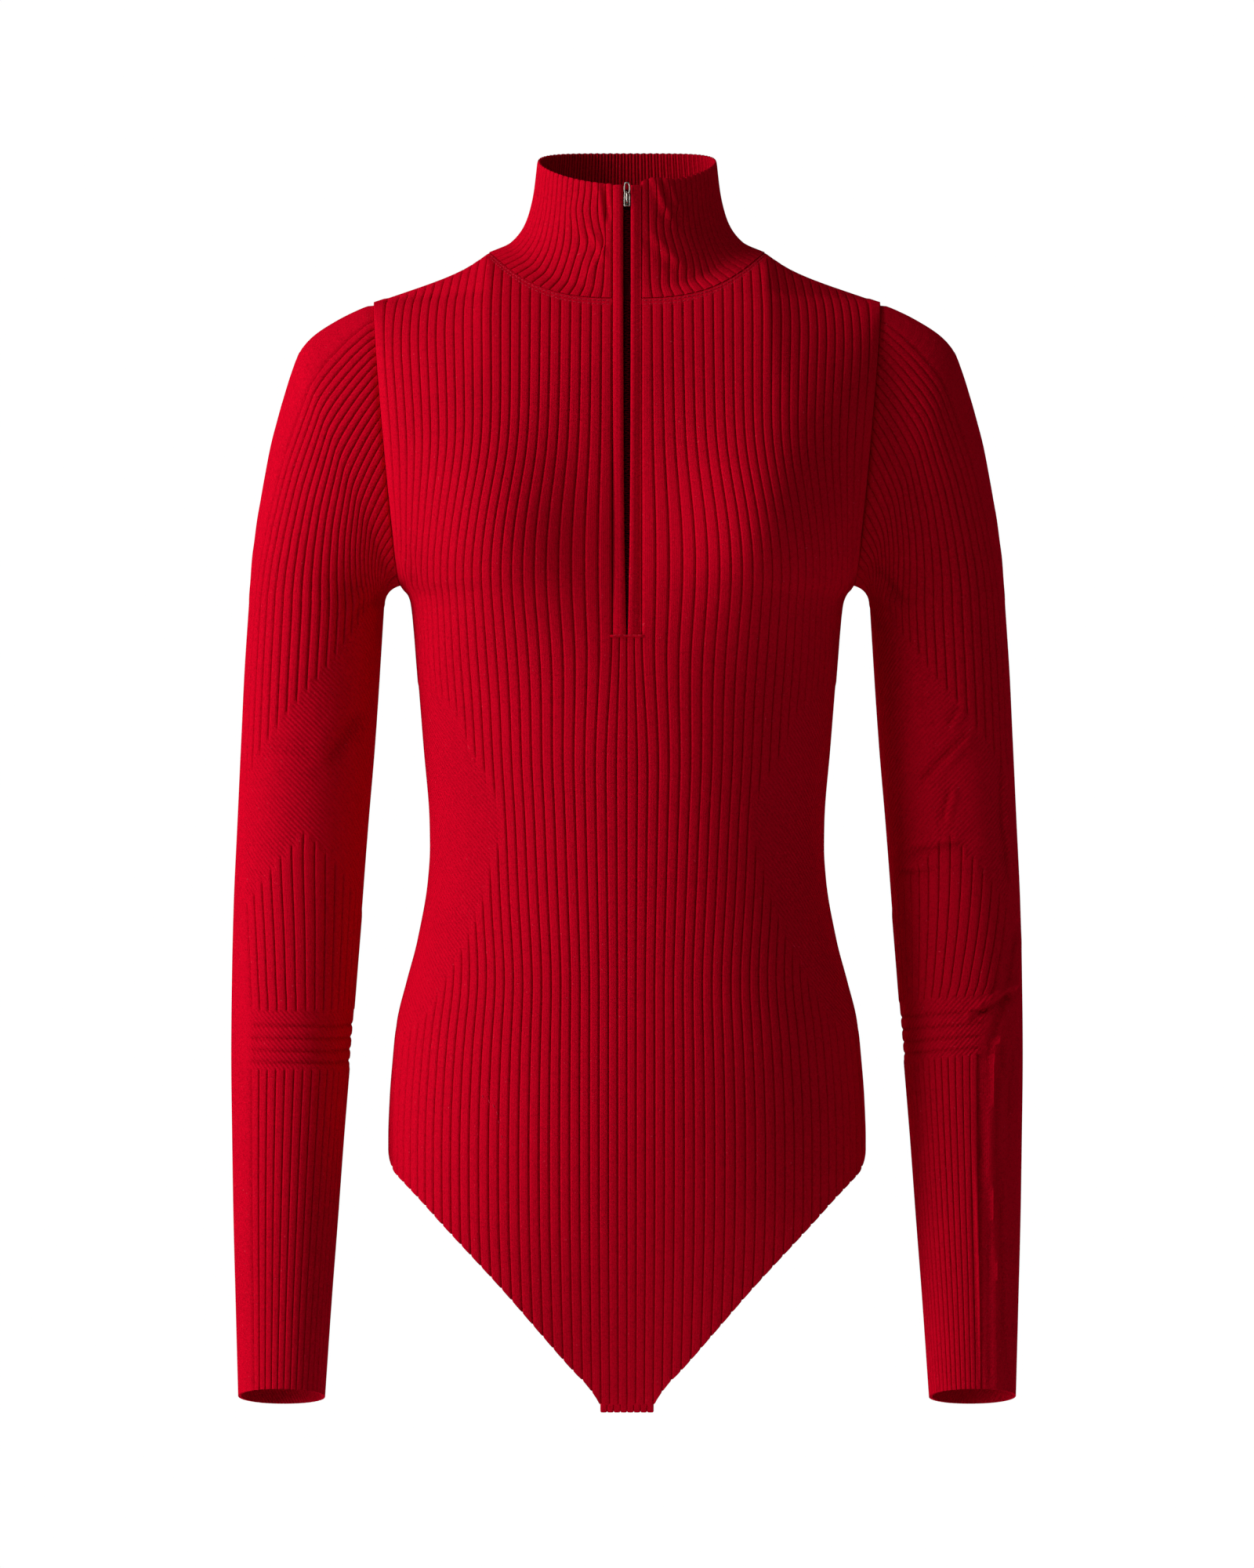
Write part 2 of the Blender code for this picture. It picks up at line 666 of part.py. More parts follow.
def make_bodice(name, face, slotted):
    """The front or back from the shoulders to the waist."""
    steps, outer, inner = body_panel(face)
    outer[WAIST_ROW, :, 2] += HALF_GAP
    inner[WAIST_ROW, :, 2] += HALF_GAP
    slot = 2 * BRIDGE_RIBS
    last = 2 * PANEL_RIBS
    coarse = [-step for step in reversed(INNER_STEPS)] + list(INNER_STEPS)
    wall = Wall()
    outside = wall.add(outer[: WAIST_ROW + 1])
    inside = wall.add(inner[1 : WAIST_ROW + 1, [step + last for step in coarse]])
    rim = wall.add(inner[0])
    left, right = last - slot, last + slot
    split = len(coarse) // 2
    halves = ((slice(0, left + 1), slice(0, split)), (slice(right, None), slice(split, None)))
    if not slotted:
        halves = ((slice(None), slice(None)),)
    for fine, plain in halves:
        wall.sheet(outside[:, fine])
        wall.sheet(inside[:, plain])
        wall.sheet(np.stack([outside[0, fine], rim[fine]]))
        wall.strip(rim[fine], steps[fine], inside[0, plain], coarse[plain])
    if slotted:
        bridge = slice(left, right + 1)
        middle = slice(split - 1, split + 1)
        wall.sheet(outside[SLOT_ROW:, bridge])
        wall.sheet(inside[SLOT_ROW - 1 :, middle])
        plain_edge = inside[SLOT_ROW - 1, middle]
        wall.strip(outside[SLOT_ROW, bridge], steps[bridge], plain_edge, coarse[middle])
        for column, plain in ((left, split - 1), (right, split)):
            edge = np.append(rim[column], inside[:SLOT_ROW, plain])
            wall.sheet(np.stack([outside[: SLOT_ROW + 1, column], edge], axis=1))
    wall.strip(outside[-1], steps, inside[-1], coarse)
    for column in (0, -1):
        edge = np.append(rim[column], inside[:, column])
        wall.sheet(np.stack([outside[:, column], edge], axis=1))
    wall.drop_unused()
    return wall.make(name, CLOTH)


def make_brief(name, face):
    """The front or back from the waist to the leg lines and the crotch."""
    steps, outer, inner = body_panel(face)
    outer[WAIST_ROW, :, 2] -= HALF_GAP
    inner[WAIST_ROW, :, 2] -= HALF_GAP
    last = 2 * PANEL_RIBS
    coarse = [-step for step in reversed(INNER_STEPS)] + list(INNER_STEPS)
    wall = Wall()
    outside = wall.add(outer[WAIST_ROW:])
    inside = wall.add(inner[WAIST_ROW:, [step + last for step in coarse]])
    wall.sheet(outside)
    wall.sheet(inside)
    for row in (0, -1):
        wall.strip(outside[row], steps, inside[row], coarse)
    for column in (0, -1):
        wall.sheet(np.stack([outside[:, column], inside[:, column]], axis=1))
    return wall.make(name, CLOTH)


def wrap(row):
    """A ring's numbers with the first one again at the end."""
    return np.append(row, row[0])


def ring_places(ribs, station):
    """Shares of a ring's columns with the full turn at the end."""
    return np.append(sleeve_steps(ribs, strip_share(station))[0], 2)


def make_sleeve(name, side):
    arm_base, arm_drop = sleeve_grid(HEAD_ROWS + UPPER_ARM_ROWS, ARM_RIBS, side)
    forearm_base, forearm_drop = sleeve_grid(FOREARM_ROWS, FOREARM_RIBS, side)
    places = np.linspace(0, 2, SLEEVE_INNER_COLUMNS + 1)
    stations = HEAD_ROWS + UPPER_ARM_ROWS + FOREARM_ROWS
    inner_base = np.array([sleeve_section(station, places[:-1]) for station in stations])
    inner_base = inner_base * np.array([side, 1, 1])
    inner_drop = np.full(inner_base.shape[:2], WALL)
    arm = arm_base - ring_normals(arm_base) * arm_drop[..., None]
    forearm = forearm_base - ring_normals(forearm_base) * forearm_drop[..., None]
    inner = inner_base - ring_normals(inner_base) * inner_drop[..., None]
    # The armhole's edge lies in the armhole's plane
    for grid, base, drop in ((arm, arm_base, arm_drop), (inner, inner_base, inner_drop)):
        inward = unit(armhole_centre(side) - base[0])
        grid[0] = base[0] + inward * drop[0][:, None] + armhole_normal(side) * HALF_GAP
    wall = Wall()
    upper, lower, inside = wall.add(arm), wall.add(forearm), wall.add(inner)
    for numbers in (upper, lower, inside):
        wall.sheet(numbers, closed=True)
    elbow_top = ring_places(ARM_RIBS, ELBOW_JOIN_TOP)
    elbow_bottom = ring_places(FOREARM_RIBS, ELBOW_JOIN_BOTTOM)
    wall.strip(wrap(upper[-1]), elbow_top, wrap(lower[0]), elbow_bottom)
    wall.strip(wrap(upper[0]), ring_places(ARM_RIBS, HEAD_ROWS[0]), wrap(inside[0]), places)
    wall.strip(wrap(lower[-1]), ring_places(FOREARM_RIBS, CUFF_Z), wrap(inside[-1]), places)
    return wall.make(name, CLOTH)


# The collar's surface


def neck_edge(face):
    """Top edge of a panel from the middle to the collar's side, through the panel's own columns."""
    columns = np.arange(NECK_STEP + 1) / (2 * PANEL_RIBS)
    top = panel_top(column_x(columns, COLUMN_TOP_Z), face)
    return body_point(column_x(columns, top), top, face)


def neck_ring(angle):
    """Seam between collar and body: the angle runs from -90 degrees, front, to 90, back, at +X."""
    x = NECK_HALF_WIDTH * np.cos(angle)
    found = []
    for face in (FRONT, BACK):
        edge = neck_edge(face)
        y = np.interp(x, edge[:, 0], edge[:, 1])
        z = np.interp(x, edge[:, 0], edge[:, 2])
        found.append(np.stack([x, y, z], axis=-1))
    return np.where((angle < 0)[..., None], *found)


def collar_point(angle, share):
    """Share of height runs from 0 at the seam to 1 at the top edge."""
    seam = neck_ring(angle)
    centre_y, centre_z = COLLAR_TOP_CENTRE
    top_x = COLLAR_TOP_HALF_WIDTH * np.cos(angle)
    top_y = centre_y + COLLAR_TOP_HALF_DEPTH * np.sin(angle)
    top_z = centre_z + COLLAR_TOP_TILT * np.sin(angle)
    flare = smooth(COLLAR_FLARE, 1, share)
    x = top_x + (seam[..., 0] - top_x) * flare
    y = top_y + (seam[..., 1] - top_y) * flare
    z = seam[..., 2] + (top_z - seam[..., 2]) * share
    return np.stack([x, y, z], axis=-1)


def collar_grid():
    """Half-rib columns from the zip's right edge round the back to its left edge."""
    steps = np.arange(4 * COLLAR_RIBS + 1)
    share = steps / (4 * COLLAR_RIBS)
    rows = []
    for height in COLLAR_ROWS:
        flare = float(smooth(COLLAR_FLARE, 1, height))
        half_width = COLLAR_TOP_HALF_WIDTH + (NECK_HALF_WIDTH - COLLAR_TOP_HALF_WIDTH) * flare
        first = -math.acos(SLOT_HALF_WIDTH / half_width)
        angle = first + (math.pi / 2 - first) * (1 - np.abs(1 - 2 * share))
        row = collar_point(angle, height)
        row[:, 0] *= np.where(share < 0.5, -1, 1)
        rows.append(row)
    return steps, np.array(rows)


def make_collar():
    steps, base = collar_grid()
    normals = grid_normals(base, base * np.array([1, 1, 0]))
    drop = np.where(steps % 2 == 0, RIB_RISE, 0.0)
    outer = base - normals * drop[None, :, None]
    inner = base - normals * WALL
    for grid in (outer, inner):
        grid[0] += unit(grid[1] - grid[0]) * SEAM_GAP
    coarse = steps[::COLLAR_INNER_STEP]
    wall = Wall()
    outside = wall.add(outer)
    inside = wall.add(inner[1:, ::COLLAR_INNER_STEP])
    rim = wall.add(inner[0])
    wall.sheet(outside)
    wall.sheet(inside)
    wall.sheet(np.stack([outside[0], rim]))
    wall.strip(rim, steps, inside[0], coarse)
    wall.strip(outside[-1], steps, inside[-1], coarse)
    for column in (0, -1):
        edge = np.append(rim[column], inside[:, column])
        wall.sheet(np.stack([outside[:, column], edge], axis=1))
    return wall.make("collar", CLOTH)


# The zip


def zip_path():
    """Middle line of the zip from the collar's top edge down to the end of the slot."""
    collar = [collar_point(np.array(-math.pi / 2), share) for share in ZIP_COLLAR_SHARES]
    heights = np.linspace(-NECK_FRONT_DROP, SLOT_BOTTOM, ZIP_BODY_ROWS)
    return np.array(collar + [body_point(0.0, float(z), FRONT) for z in heights])


def path_out(path):
    """Outward directions along a line that runs down the front."""
    down = unit(np.gradient(path, axis=0))
    return np.stack([np.zeros(len(path)), down[:, 2], -down[:, 1]], axis=1)


def cut_ends(path, amount):
    path = path.copy()
    path[0] += unit(path[1] - path[0]) * amount[0]
    path[-1] += unit(path[-2] - path[-1]) * amount[1]
    return path


def sweep(name, outline, path, finish):
    """A strip along the zip: the outline holds sideways and outward sizes, in order round the strip."""
    out = path_out(path)
    wall = Wall()
    rings = []
    for centre, rise in zip(path, out):
        rings.append([centre + np.array([a, 0, 0]) + rise * b for a, b in outline])
    numbers = wall.add(rings)
    wall.sheet(numbers, closed=True)
    wall.faces.append(tuple(numbers[0]))
    wall.faces.append(tuple(numbers[-1]))
    return wall.make(name, finish)


def make_welts():
    middle = (WELT_INNER + WELT_OUTER) / 2
    half = (WELT_OUTER - WELT_INNER) / 2
    path = cut_ends(zip_path(), (0.0, SEAM_GAP))
    profile = []
    for k in range(WELT_SIDES):
        turn = 2 * math.pi * k / WELT_SIDES
        across = math.copysign(abs(math.cos(turn)) ** WELT_SQUARENESS, math.cos(turn)) * half
        rise = (WELT_RISE - WELT_DEPTH) / 2 + math.sin(turn) * (WELT_RISE + WELT_DEPTH) / 2
        profile.append((across, rise))
    for name, side in (("zip_welt_right", -1), ("zip_welt_left", 1)):
        outline = [(side * (middle + across), rise) for across, rise in profile]
        sweep(name, outline, path, CLOTH)


def make_tape():
    outline = [
        (-TAPE_HALF_WIDTH, -TAPE_BOTTOM_DEPTH),
        (TAPE_HALF_WIDTH, -TAPE_BOTTOM_DEPTH),
        (TAPE_HALF_WIDTH, -TAPE_TOP_DEPTH),
        (-TAPE_HALF_WIDTH, -TAPE_TOP_DEPTH),
    ]
    path = cut_ends(zip_path(), (TAPE_TOP_CUT, -TAPE_BOTTOM_RUN))
    sweep("zip_tape", outline, path, TAPE)


def slider_frame():
    """Place of the slider's lower end on the zip, and the directions along and out of the zip there."""
    path = zip_path()[::-1]
    at = np.array([0, float(np.interp(SLIDER_Z, path[:, 2], path[:, 1])), SLIDER_Z])
    above = SLIDER_Z + SLIDER_LENGTH
    end = np.array([0, float(np.interp(above, path[:, 2], path[:, 1])), above])
    along = unit(end - at)
    return at, along, np.array([0, -along[2], along[1]])


def prism(name, profile, half_width, finish):
    """A plate with this profile, given along and out of the zip, standing across the zip's middle."""
    origin, along, out = slider_frame()
    wall = Wall()
    rings = []
    for side in (-1, 1):
        middle = origin + np.array([side * half_width, 0, 0])
        rings.append([middle + along * a + out * b for a, b in profile])
    numbers = wall.add(rings)
    wall.sheet(numbers, closed=True)
    wall.faces.append(tuple(numbers[0]))
    wall.faces.append(tuple(numbers[1]))
    return wall.make(name, finish, smooth_angle=20)


def make_slider():
    bottom = SLIDER_TAPE_GAP - TAPE_TOP_DEPTH
    body = prism(
        "zip_slider",
        [
            (0.0, bottom),
            (SLIDER_LENGTH, bottom),
            (SLIDER_LENGTH, SLIDER_TOP_RISE - SLIDER_NOSE),
            (SLIDER_LENGTH - SLIDER_NOSE, SLIDER_TOP_RISE),
            (SLIDER_NOSE, SLIDER_TOP_RISE),
            (0.0, SLIDER_TOP_RISE - SLIDER_NOSE),
        ],
        SLIDER_HALF_WIDTH,
        METAL,
    )
    clear = PULL_WIRE + PULL_CLEARANCE
    window_start = CROWN_START + CROWN_POST
    window_end = PULL_AXIS_ALONG + clear
    tip = window_end + CROWN_TIP
    ceiling = PULL_AXIS_RISE + clear
    roof = ceiling + CROWN_ROOF
    sunk = SLIDER_TOP_RISE - CROWN_SUNK
    crown = prism(
        "crown_form",
        [
            (CROWN_START, sunk),
            (window_start, sunk),
            (window_start, ceiling - CROWN_CHAMFER),
            (window_start + CROWN_CHAMFER, ceiling),
            (window_end, ceiling),
            (window_end, sunk),
            (tip, sunk),
            (tip, roof - CROWN_CHAMFER),
            (tip - CROWN_CHAMFER, roof),
            (CROWN_START + CROWN_CHAMFER, roof),
            (CROWN_START, roof - CROWN_CHAMFER),
        ],
        CROWN_HALF_WIDTH,
        METAL,
    )
    crown.hide_render = True
    crown.display_type = "WIRE"
    join = body.modifiers.new("crown", "BOOLEAN")
    join.operation = "UNION"
    join.solver = "EXACT"
    join.object = crown


def pull_axis():
    origin, along, out = slider_frame()
    return origin + along * PULL_AXIS_ALONG + out * PULL_AXIS_RISE


def make_pull():
    """The wire ring that stands up from the slider's crown. Its object sits on the hinge's axis."""
    along = slider_frame()[1]
    reach = PULL_LENGTH - PULL_HALF_WIDTH
    cut = PULL_CORNER * (1 - math.sqrt(0.5))
    points = [
        (0.0, 0.0),
        (PULL_HALF_WIDTH - PULL_CORNER, 0.0),
        (PULL_HALF_WIDTH - cut, cut),
        (PULL_HALF_WIDTH, PULL_CORNER),
        (PULL_HALF_WIDTH, reach),
    ]
    for k in range(1, 6):
        turn = math.pi * k / 6
        points.append((PULL_HALF_WIDTH * math.cos(turn), reach + PULL_HALF_WIDTH * math.sin(turn)))
    points += [(-x, a) for x, a in reversed(points[1:5])]
    curve = bpy.data.curves.new("pull_ring", "CURVE")
    curve.dimensions = "3D"
    curve.bevel_depth = PULL_WIRE * MM
    curve.bevel_resolution = 1
    spline = curve.splines.new("POLY")
    spline.points.add(len(points) - 1)
    spline.use_cyclic_u = True
    for point, (x, a) in zip(spline.points, points):
        point.co = (x * MM, along[1] * a * MM, along[2] * a * MM, 1)
    curve.materials.append(METAL)
    ring = bpy.data.objects.new("pull_ring", curve)
    ring.location = tuple(pull_axis() * MM)
    bpy.context.scene.collection.objects.link(ring)


# The gusset


def crotch_profile(face):
    """Middle line of a panel through its own last rows, from the crotch up."""
    heights = panel_heights(np.array([0.0]), face)[-1:-4:-1, 0]
    return body_point(0.0, heights, face)[:, 1:]


def gusset_path():
    """Lower side of the gusset from inside the front, under the crotch, to inside the back."""
    lift = WALL + GUSSET_CLEARANCE
    path = []
    for face, heights in ((FRONT, GUSSET_SIDE_HEIGHTS), (BACK, GUSSET_SIDE_HEIGHTS[::-1])):
        profile = crotch_profile(face)
        along = unit(profile[1] - profile[0])
        inward = np.array([along[1], -along[0]]) * -face
        for z in heights:
            path.append(np.array([np.interp(z, profile[:2, 1], profile[:2, 0]), z]) + inward * lift)
    sides = len(GUSSET_SIDE_HEIGHTS)
    return np.array(path[:sides] + [np.array(place) for place in GUSSET_DIP] + path[sides:])


def make_gusset():
    path = gusset_path()
    tangent = unit(np.gradient(path, axis=0))
    up = np.stack([-tangent[:, 1], tangent[:, 0]], axis=1)
    up *= np.where(up[:, 1:] < 0, -1, 1)
    steps = np.arange(2 * GUSSET_RIBS + 1)
    across = (steps / GUSSET_RIBS - 1) * GUSSET_HALF_WIDTH
    sunk = np.where(steps % 2 == 0, GUSSET_RIB_RISE, 0.0)
    outer, inner = [], []
    for place, rise in zip(path, up):
        outer.append([(x, *(place + rise * depth)) for x, depth in zip(across, sunk)])
        inner.append([(x, *(place + rise * GUSSET_WALL)) for x in across[::GUSSET_INNER_STEP]])
    wall = Wall()
    outside = wall.add(outer)
    inside = wall.add(inner)
    wall.sheet(outside)
    wall.sheet(inside)
    for row in (0, -1):
        wall.strip(outside[row], steps, inside[row], steps[::GUSSET_INNER_STEP])
    for column in (0, -1):
        wall.sheet(np.stack([outside[:, column], inside[:, column]], axis=1))
    return wall.make("crotch_gusset", CLOTH)


for thing in list(bpy.data.objects):
    bpy.data.objects.remove(thing)

CLOTH = material("rib_knit", RED, 0.85)
TAPE = material("zip_tape", DARK_TAPE, 0.8)
METAL = material("zip_metal", STEEL, 0.3, 1.0)

make_bodice("front_bodice", FRONT, slotted=True)
make_brief("front_brief", FRONT)
make_bodice("back_bodice", BACK, slotted=False)
make_brief("back_brief", BACK)
make_sleeve("sleeve_left", 1)
make_sleeve("sleeve_right", -1)
make_collar()
make_welts()
make_tape()
make_slider()
make_pull()
make_gusset()
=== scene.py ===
"""Looks of the base layer bodysuit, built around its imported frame.

Each knit panel is a closed thin shell whose ribs, creases and edges are modelled, and the knit itself is
in the material. Sizes are in millimetres until a mesh is made. The front faces -Y, the wearer's left side
is +X and +Z is up, with the origin between the shoulders.
"""

import math

import bmesh
import bpy
import numpy as np
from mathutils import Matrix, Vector


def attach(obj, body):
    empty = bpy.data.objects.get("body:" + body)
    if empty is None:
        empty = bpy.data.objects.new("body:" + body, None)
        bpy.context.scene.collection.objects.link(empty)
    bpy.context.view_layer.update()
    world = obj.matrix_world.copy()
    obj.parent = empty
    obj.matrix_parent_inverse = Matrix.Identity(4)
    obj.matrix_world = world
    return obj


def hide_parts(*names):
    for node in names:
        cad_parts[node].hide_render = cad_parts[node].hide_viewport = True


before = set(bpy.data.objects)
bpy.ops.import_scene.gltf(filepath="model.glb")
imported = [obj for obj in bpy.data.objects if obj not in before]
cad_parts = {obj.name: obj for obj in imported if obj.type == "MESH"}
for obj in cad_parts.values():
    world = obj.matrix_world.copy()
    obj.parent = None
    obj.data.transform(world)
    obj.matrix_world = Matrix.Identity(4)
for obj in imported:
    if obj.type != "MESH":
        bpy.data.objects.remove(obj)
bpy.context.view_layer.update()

MM = 0.001
ACROSS = np.array([1.0, 0.0, 0.0])
FRONT = -1
BACK = 1

# Cloth
WALL = 1.9
RIB_ARCH = 0.3
RIB_GROOVE = 0.68
PLAIN_DROP = 0.35
SEAM_GAP = 0.3
HALF_GAP = SEAM_GAP / 2
PANEL_RIBS = 27
BRIDGE_RIBS = 2
ARM_RIBS = 24
FOREARM_RIBS = 15
COLLAR_RIBS = 38
GUSSET_RIBS = 8
# Places of the mesh columns on one rib, which runs from groove to groove
RIB_COLUMNS = (0.0, 0.1, 0.25, 0.5, 0.75, 0.9)
ARM_RIB_COLUMNS = (0.0, 0.14, 0.36, 0.64, 0.86)
FOREARM_RIB_COLUMNS = (0.0, 0.09, 0.2, 0.35, 0.5, 0.65, 0.8, 0.91)
WALES_PER_RIB = 7.0
COURSE = 0.8

# Body levels: height, half width, front depth, back depth, roundness of the section
COLUMN_TOP_Z = -28.0
BODY = (
    (30.0, 149.0, 78.0, 84.0, 2.0),
    (-28.0, 143.6, 81.0, 88.0, 2.0),
    (-60.0, 140.7, 85.0, 93.0, 2.0),
    (-110.0, 136.2, 89.0, 96.0, 2.0),
    (-160.0, 131.6, 92.0, 94.0, 2.1),
    (-189.8, 128.9, 92.0, 91.0, 2.2),
    (-195.0, 124.8, 91.5, 90.0, 2.25),
    (-200.0, 122.9, 91.0, 89.0, 2.3),
    (-213.0, 121.4, 90.0, 87.0, 2.3),
    (-235.0, 119.6, 88.5, 83.0, 2.3),
    (-280.0, 116.0, 85.0, 73.0, 2.3),
    (-324.0, 112.5, 82.5, 67.0, 2.3),
    (-338.0, 112.3, 82.5, 66.0, 2.3),
    (-356.0, 113.4, 83.0, 68.0, 2.3),
    (-391.0, 119.5, 87.0, 78.0, 2.3),
    (-413.5, 125.5, 90.0, 86.0, 2.3),
    (-436.0, 131.0, 93.0, 95.0, 2.3),
    (-458.0, 133.3, 95.0, 104.0, 2.3),
    (-480.0, 135.0, 95.0, 111.0, 2.3),
    (-503.0, 135.8, 93.5, 115.0, 2.3),
    (-540.0, 135.8, 86.0, 113.0, 2.3),
    (-580.0, 134.0, 69.0, 98.0, 2.3),
    (-615.0, 131.0, 47.0, 73.0, 2.3),
    (-640.0, 129.0, 24.0, 47.0, 2.3),
    (-654.0, 128.0, 6.0, 26.0, 2.3),
    (-670.0, 127.0, -16.0, 2.0, 2.3),
)
# Shoulder seam seen from the front: distance from the middle, height
SHOULDER = (
    (78.6, 0.0),
    (83.0, -3.1),
    (91.0, -8.2),
    (100.0, -12.5),
    (112.0, -17.2),
    (124.0, -21.4),
    (143.6, -28.0),
    (150.0, -30.0),
)
SHOULDER_ROLL = 75.0

# Neckline and collar
NECK_HALF_WIDTH = 78.59
NECK_FRONT_DROP = 31.5
NECK_BACK_RISE = 4.0
TRAPEZIUS_FRONT = -3.4
TRAPEZIUS_BACK = 17.0
COLLAR_TOP_HALF_WIDTH = 51.0
COLLAR_TOP_HALF_DEPTH = 54.0
COLLAR_TOP_CENTRE = (2.0, 47.5)
COLLAR_TOP_TILT = 15.0
COLLAR_SIDE_LIFT = 4.6
# How far the collar still flares out towards its seam: share of height, share of flare
COLLAR_FLARE = (
    (0.0, 1.0),
    (0.11, 0.55),
    (0.3, 0.27),
    (0.48, 0.15),
    (0.67, 0.075),
    (0.86, 0.03),
    (1.0, 0.0),
)

# Cups: distance from the middle, height, rise, and spread sideways, upwards and downwards
CUP_X = 82.0
CUP_Z = -170.0
CUP_RISE = 33.0
CUP_SPREAD_X = 36.0
CUP_SPREAD_UP = 52.0
CUP_SPREAD_DOWN = 34.0

# Leg line: height, distance from the middle
LEG_LINE = (
    (-505.0, 136.2),
    (-511.5, 135.0),
    (-519.0, 132.0),
    (-526.0, 124.6),
    (-533.5, 116.5),
    (-542.0, 108.2),
    (-583.0, 70.2),
    (-608.4, 49.3),
    (-633.3, 29.4),
    (-640.0, 23.6),
    (-646.6, 19.3),
    (-651.0, 16.8),
    (-654.0, 15.6),
)
CROTCH_Z = -654.0

# Width of one rib of the panels: height, width at the middle, width at the armhole
RIB_PITCH = (
    (-40.0, 5.8, 4.9),
    (-79.0, 6.0, 4.8),
    (-112.0, 6.3, 4.6),
    (-140.0, 7.1, 3.5),
    (-166.0, 7.8, 2.5),
    (-190.0, 7.8, 2.0),
    (-213.0, 7.2, 1.9),
    (-258.0, 6.2, 1.6),
    (-302.0, 5.8, 1.6),
    (-347.0, 5.5, 1.6),
    (-391.0, 5.2, 2.4),
    (-413.0, 5.1, 3.0),
    (-525.0, 5.1, 3.0),
    (-654.0, 4.9, 3.0),
)
# Below these heights the ribs crowd towards the side seam, and above they are spread to the armhole
CROWDED_Z = -240.0
SPREAD_Z = -160.0
# They spread again from the waist down to the hips
WAIST_RIBS_Z = -345.0
HIP_RIBS_Z = -430.0
# Heights around a place over which the ribs' run is evened, and the weight of each
EVENED_OVER = tuple((7.0 * step, (4 - abs(step)) / 16) for step in (-3, -2, -1, 0, 1, 2, 3))
# Near the shoulder seam the ribs lean towards the neck, over this height
SHOULDER_LEAN = 5.0
SHOULDER_LEAN_HEIGHT = 46.0
# Plain side panel at the waist: height, distance of its edge from the middle
WAIST_PANEL = (
    (-235.0, 150.0),
    (-249.0, 112.0),
    (-263.0, 95.0),
    (-284.0, 87.0),
    (-299.0, 78.0),
    (-322.0, 70.2),
    (-329.0, 70.2),
    (-343.0, 74.6),
    (-365.0, 80.4),
    (-386.0, 88.5),
    (-405.0, 98.7),
    (-421.0, 106.7),
    (-436.0, 118.0),
    (-449.0, 150.0),
)
WAIST_FADE = 3.0

# Zip
SLOT_HALF_WIDTH = 8.2
SLOT_BOTTOM = -221.0
SLOT_SHARE = 0.0672
FAN_LENGTH = 80.0

# Sleeve head: its sections turn about a pivot in the armpit, from the armhole to level
PIVOT_X = 128.0
PIVOT_Z = -199.6
PIVOT_RADIUS = 9.8
ARMHOLE_TILT = 5.2
HEAD_DEPTH_END = 0.8
# Sleeve head: angle from upright, outer radius
SLEEVE_HEAD = (
    (5.2, 171.4),
    (8.0, 169.2),
    (13.3, 164.8),
    (18.6, 159.9),
    (22.3, 154.1),
    (24.9, 147.3),
    (30.3, 134.2),
    (36.6, 122.0),
    (47.7, 106.0),
    (56.8, 97.6),
    (69.8, 90.5),
    (84.1, 87.4),
    (90.0, 87.4),
)
ARMHOLE_OUTER_RADIUS = 172.3
ARMHOLE_HALF_DEPTH = 55.0
ARMHOLE_ROUNDNESS = 2.2
# Arm: height, centre to the side, half width, centre front to back, half depth
ARM = (
    (-199.6, 176.6, 38.8, 4.0, 45.5),
    (-235.0, 179.0, 38.9, 6.0, 44.5),
    (-280.0, 181.8, 38.5, 9.0, 43.0),
    (-324.0, 184.8, 37.7, 11.0, 41.0),
    (-369.0, 187.5, 37.0, 10.0, 40.0),
    (-413.5, 189.5, 35.7, 5.0, 39.0),
    (-458.0, 191.0, 34.0, -3.0, 37.0),
    (-502.6, 192.0, 31.8, -12.0, 34.0),
    (-547.0, 192.8, 29.7, -20.0, 30.5),
    (-592.0, 193.6, 27.3, -26.0, 27.0),
    (-646.3, 194.4, 24.6, -32.0, 24.0),
)
CUFF_Z = -646.3
CUFF_SLOPE = 0.29
CUFF_SLOPE_START = -540.0
ARM_ROUNDNESS = 2.1
# Plain strip along the outside of the sleeve: height, share of the half round
RIGHT_STRIP = ((0.0, 0.18), (-300.0, 0.19), (-400.0, 0.28), (-440.0, 0.31), (-650.0, 0.31))
LEFT_STRIP = (
    (0.0, 0.18),
    (-300.0, 0.19),
    (-361.0, 0.24),
    (-400.0, 0.31),
    (-427.0, 0.39),
    (-455.0, 0.45),
    (-520.0, 0.46),
    (-650.0, 0.46),
)
# Ribs stop above the elbow at a line that rises from the sleeve's outside to its inside, and start
# again below it in an arch: heights, place of the arch's peak and slopes, per share of the half round
RIB_STOP_Z = -333.0
RIB_STOP_RISE = 170.0
RIB_START_Z = -328.0
RIB_START_PEAK = 0.53
RIB_START_OUTER_FALL = 145.0
RIB_START_INNER_FALL = 110.0
RIB_END_FADE = 2.4
ELBOW_TOP = -300.0
ELBOW_BOTTOM = -324.0
# The band round the forearm: where the ribs stop for it, and its grooves
BAND_TOP = -430.0
BAND_BOTTOM = -461.5
BAND_GROOVES = (-438.0, -444.9, -451.9, -458.3)
BAND_GROOVE_WIDTH = 1.1
BAND_GROOVE_DEPTH = 0.8


# Curves and tables


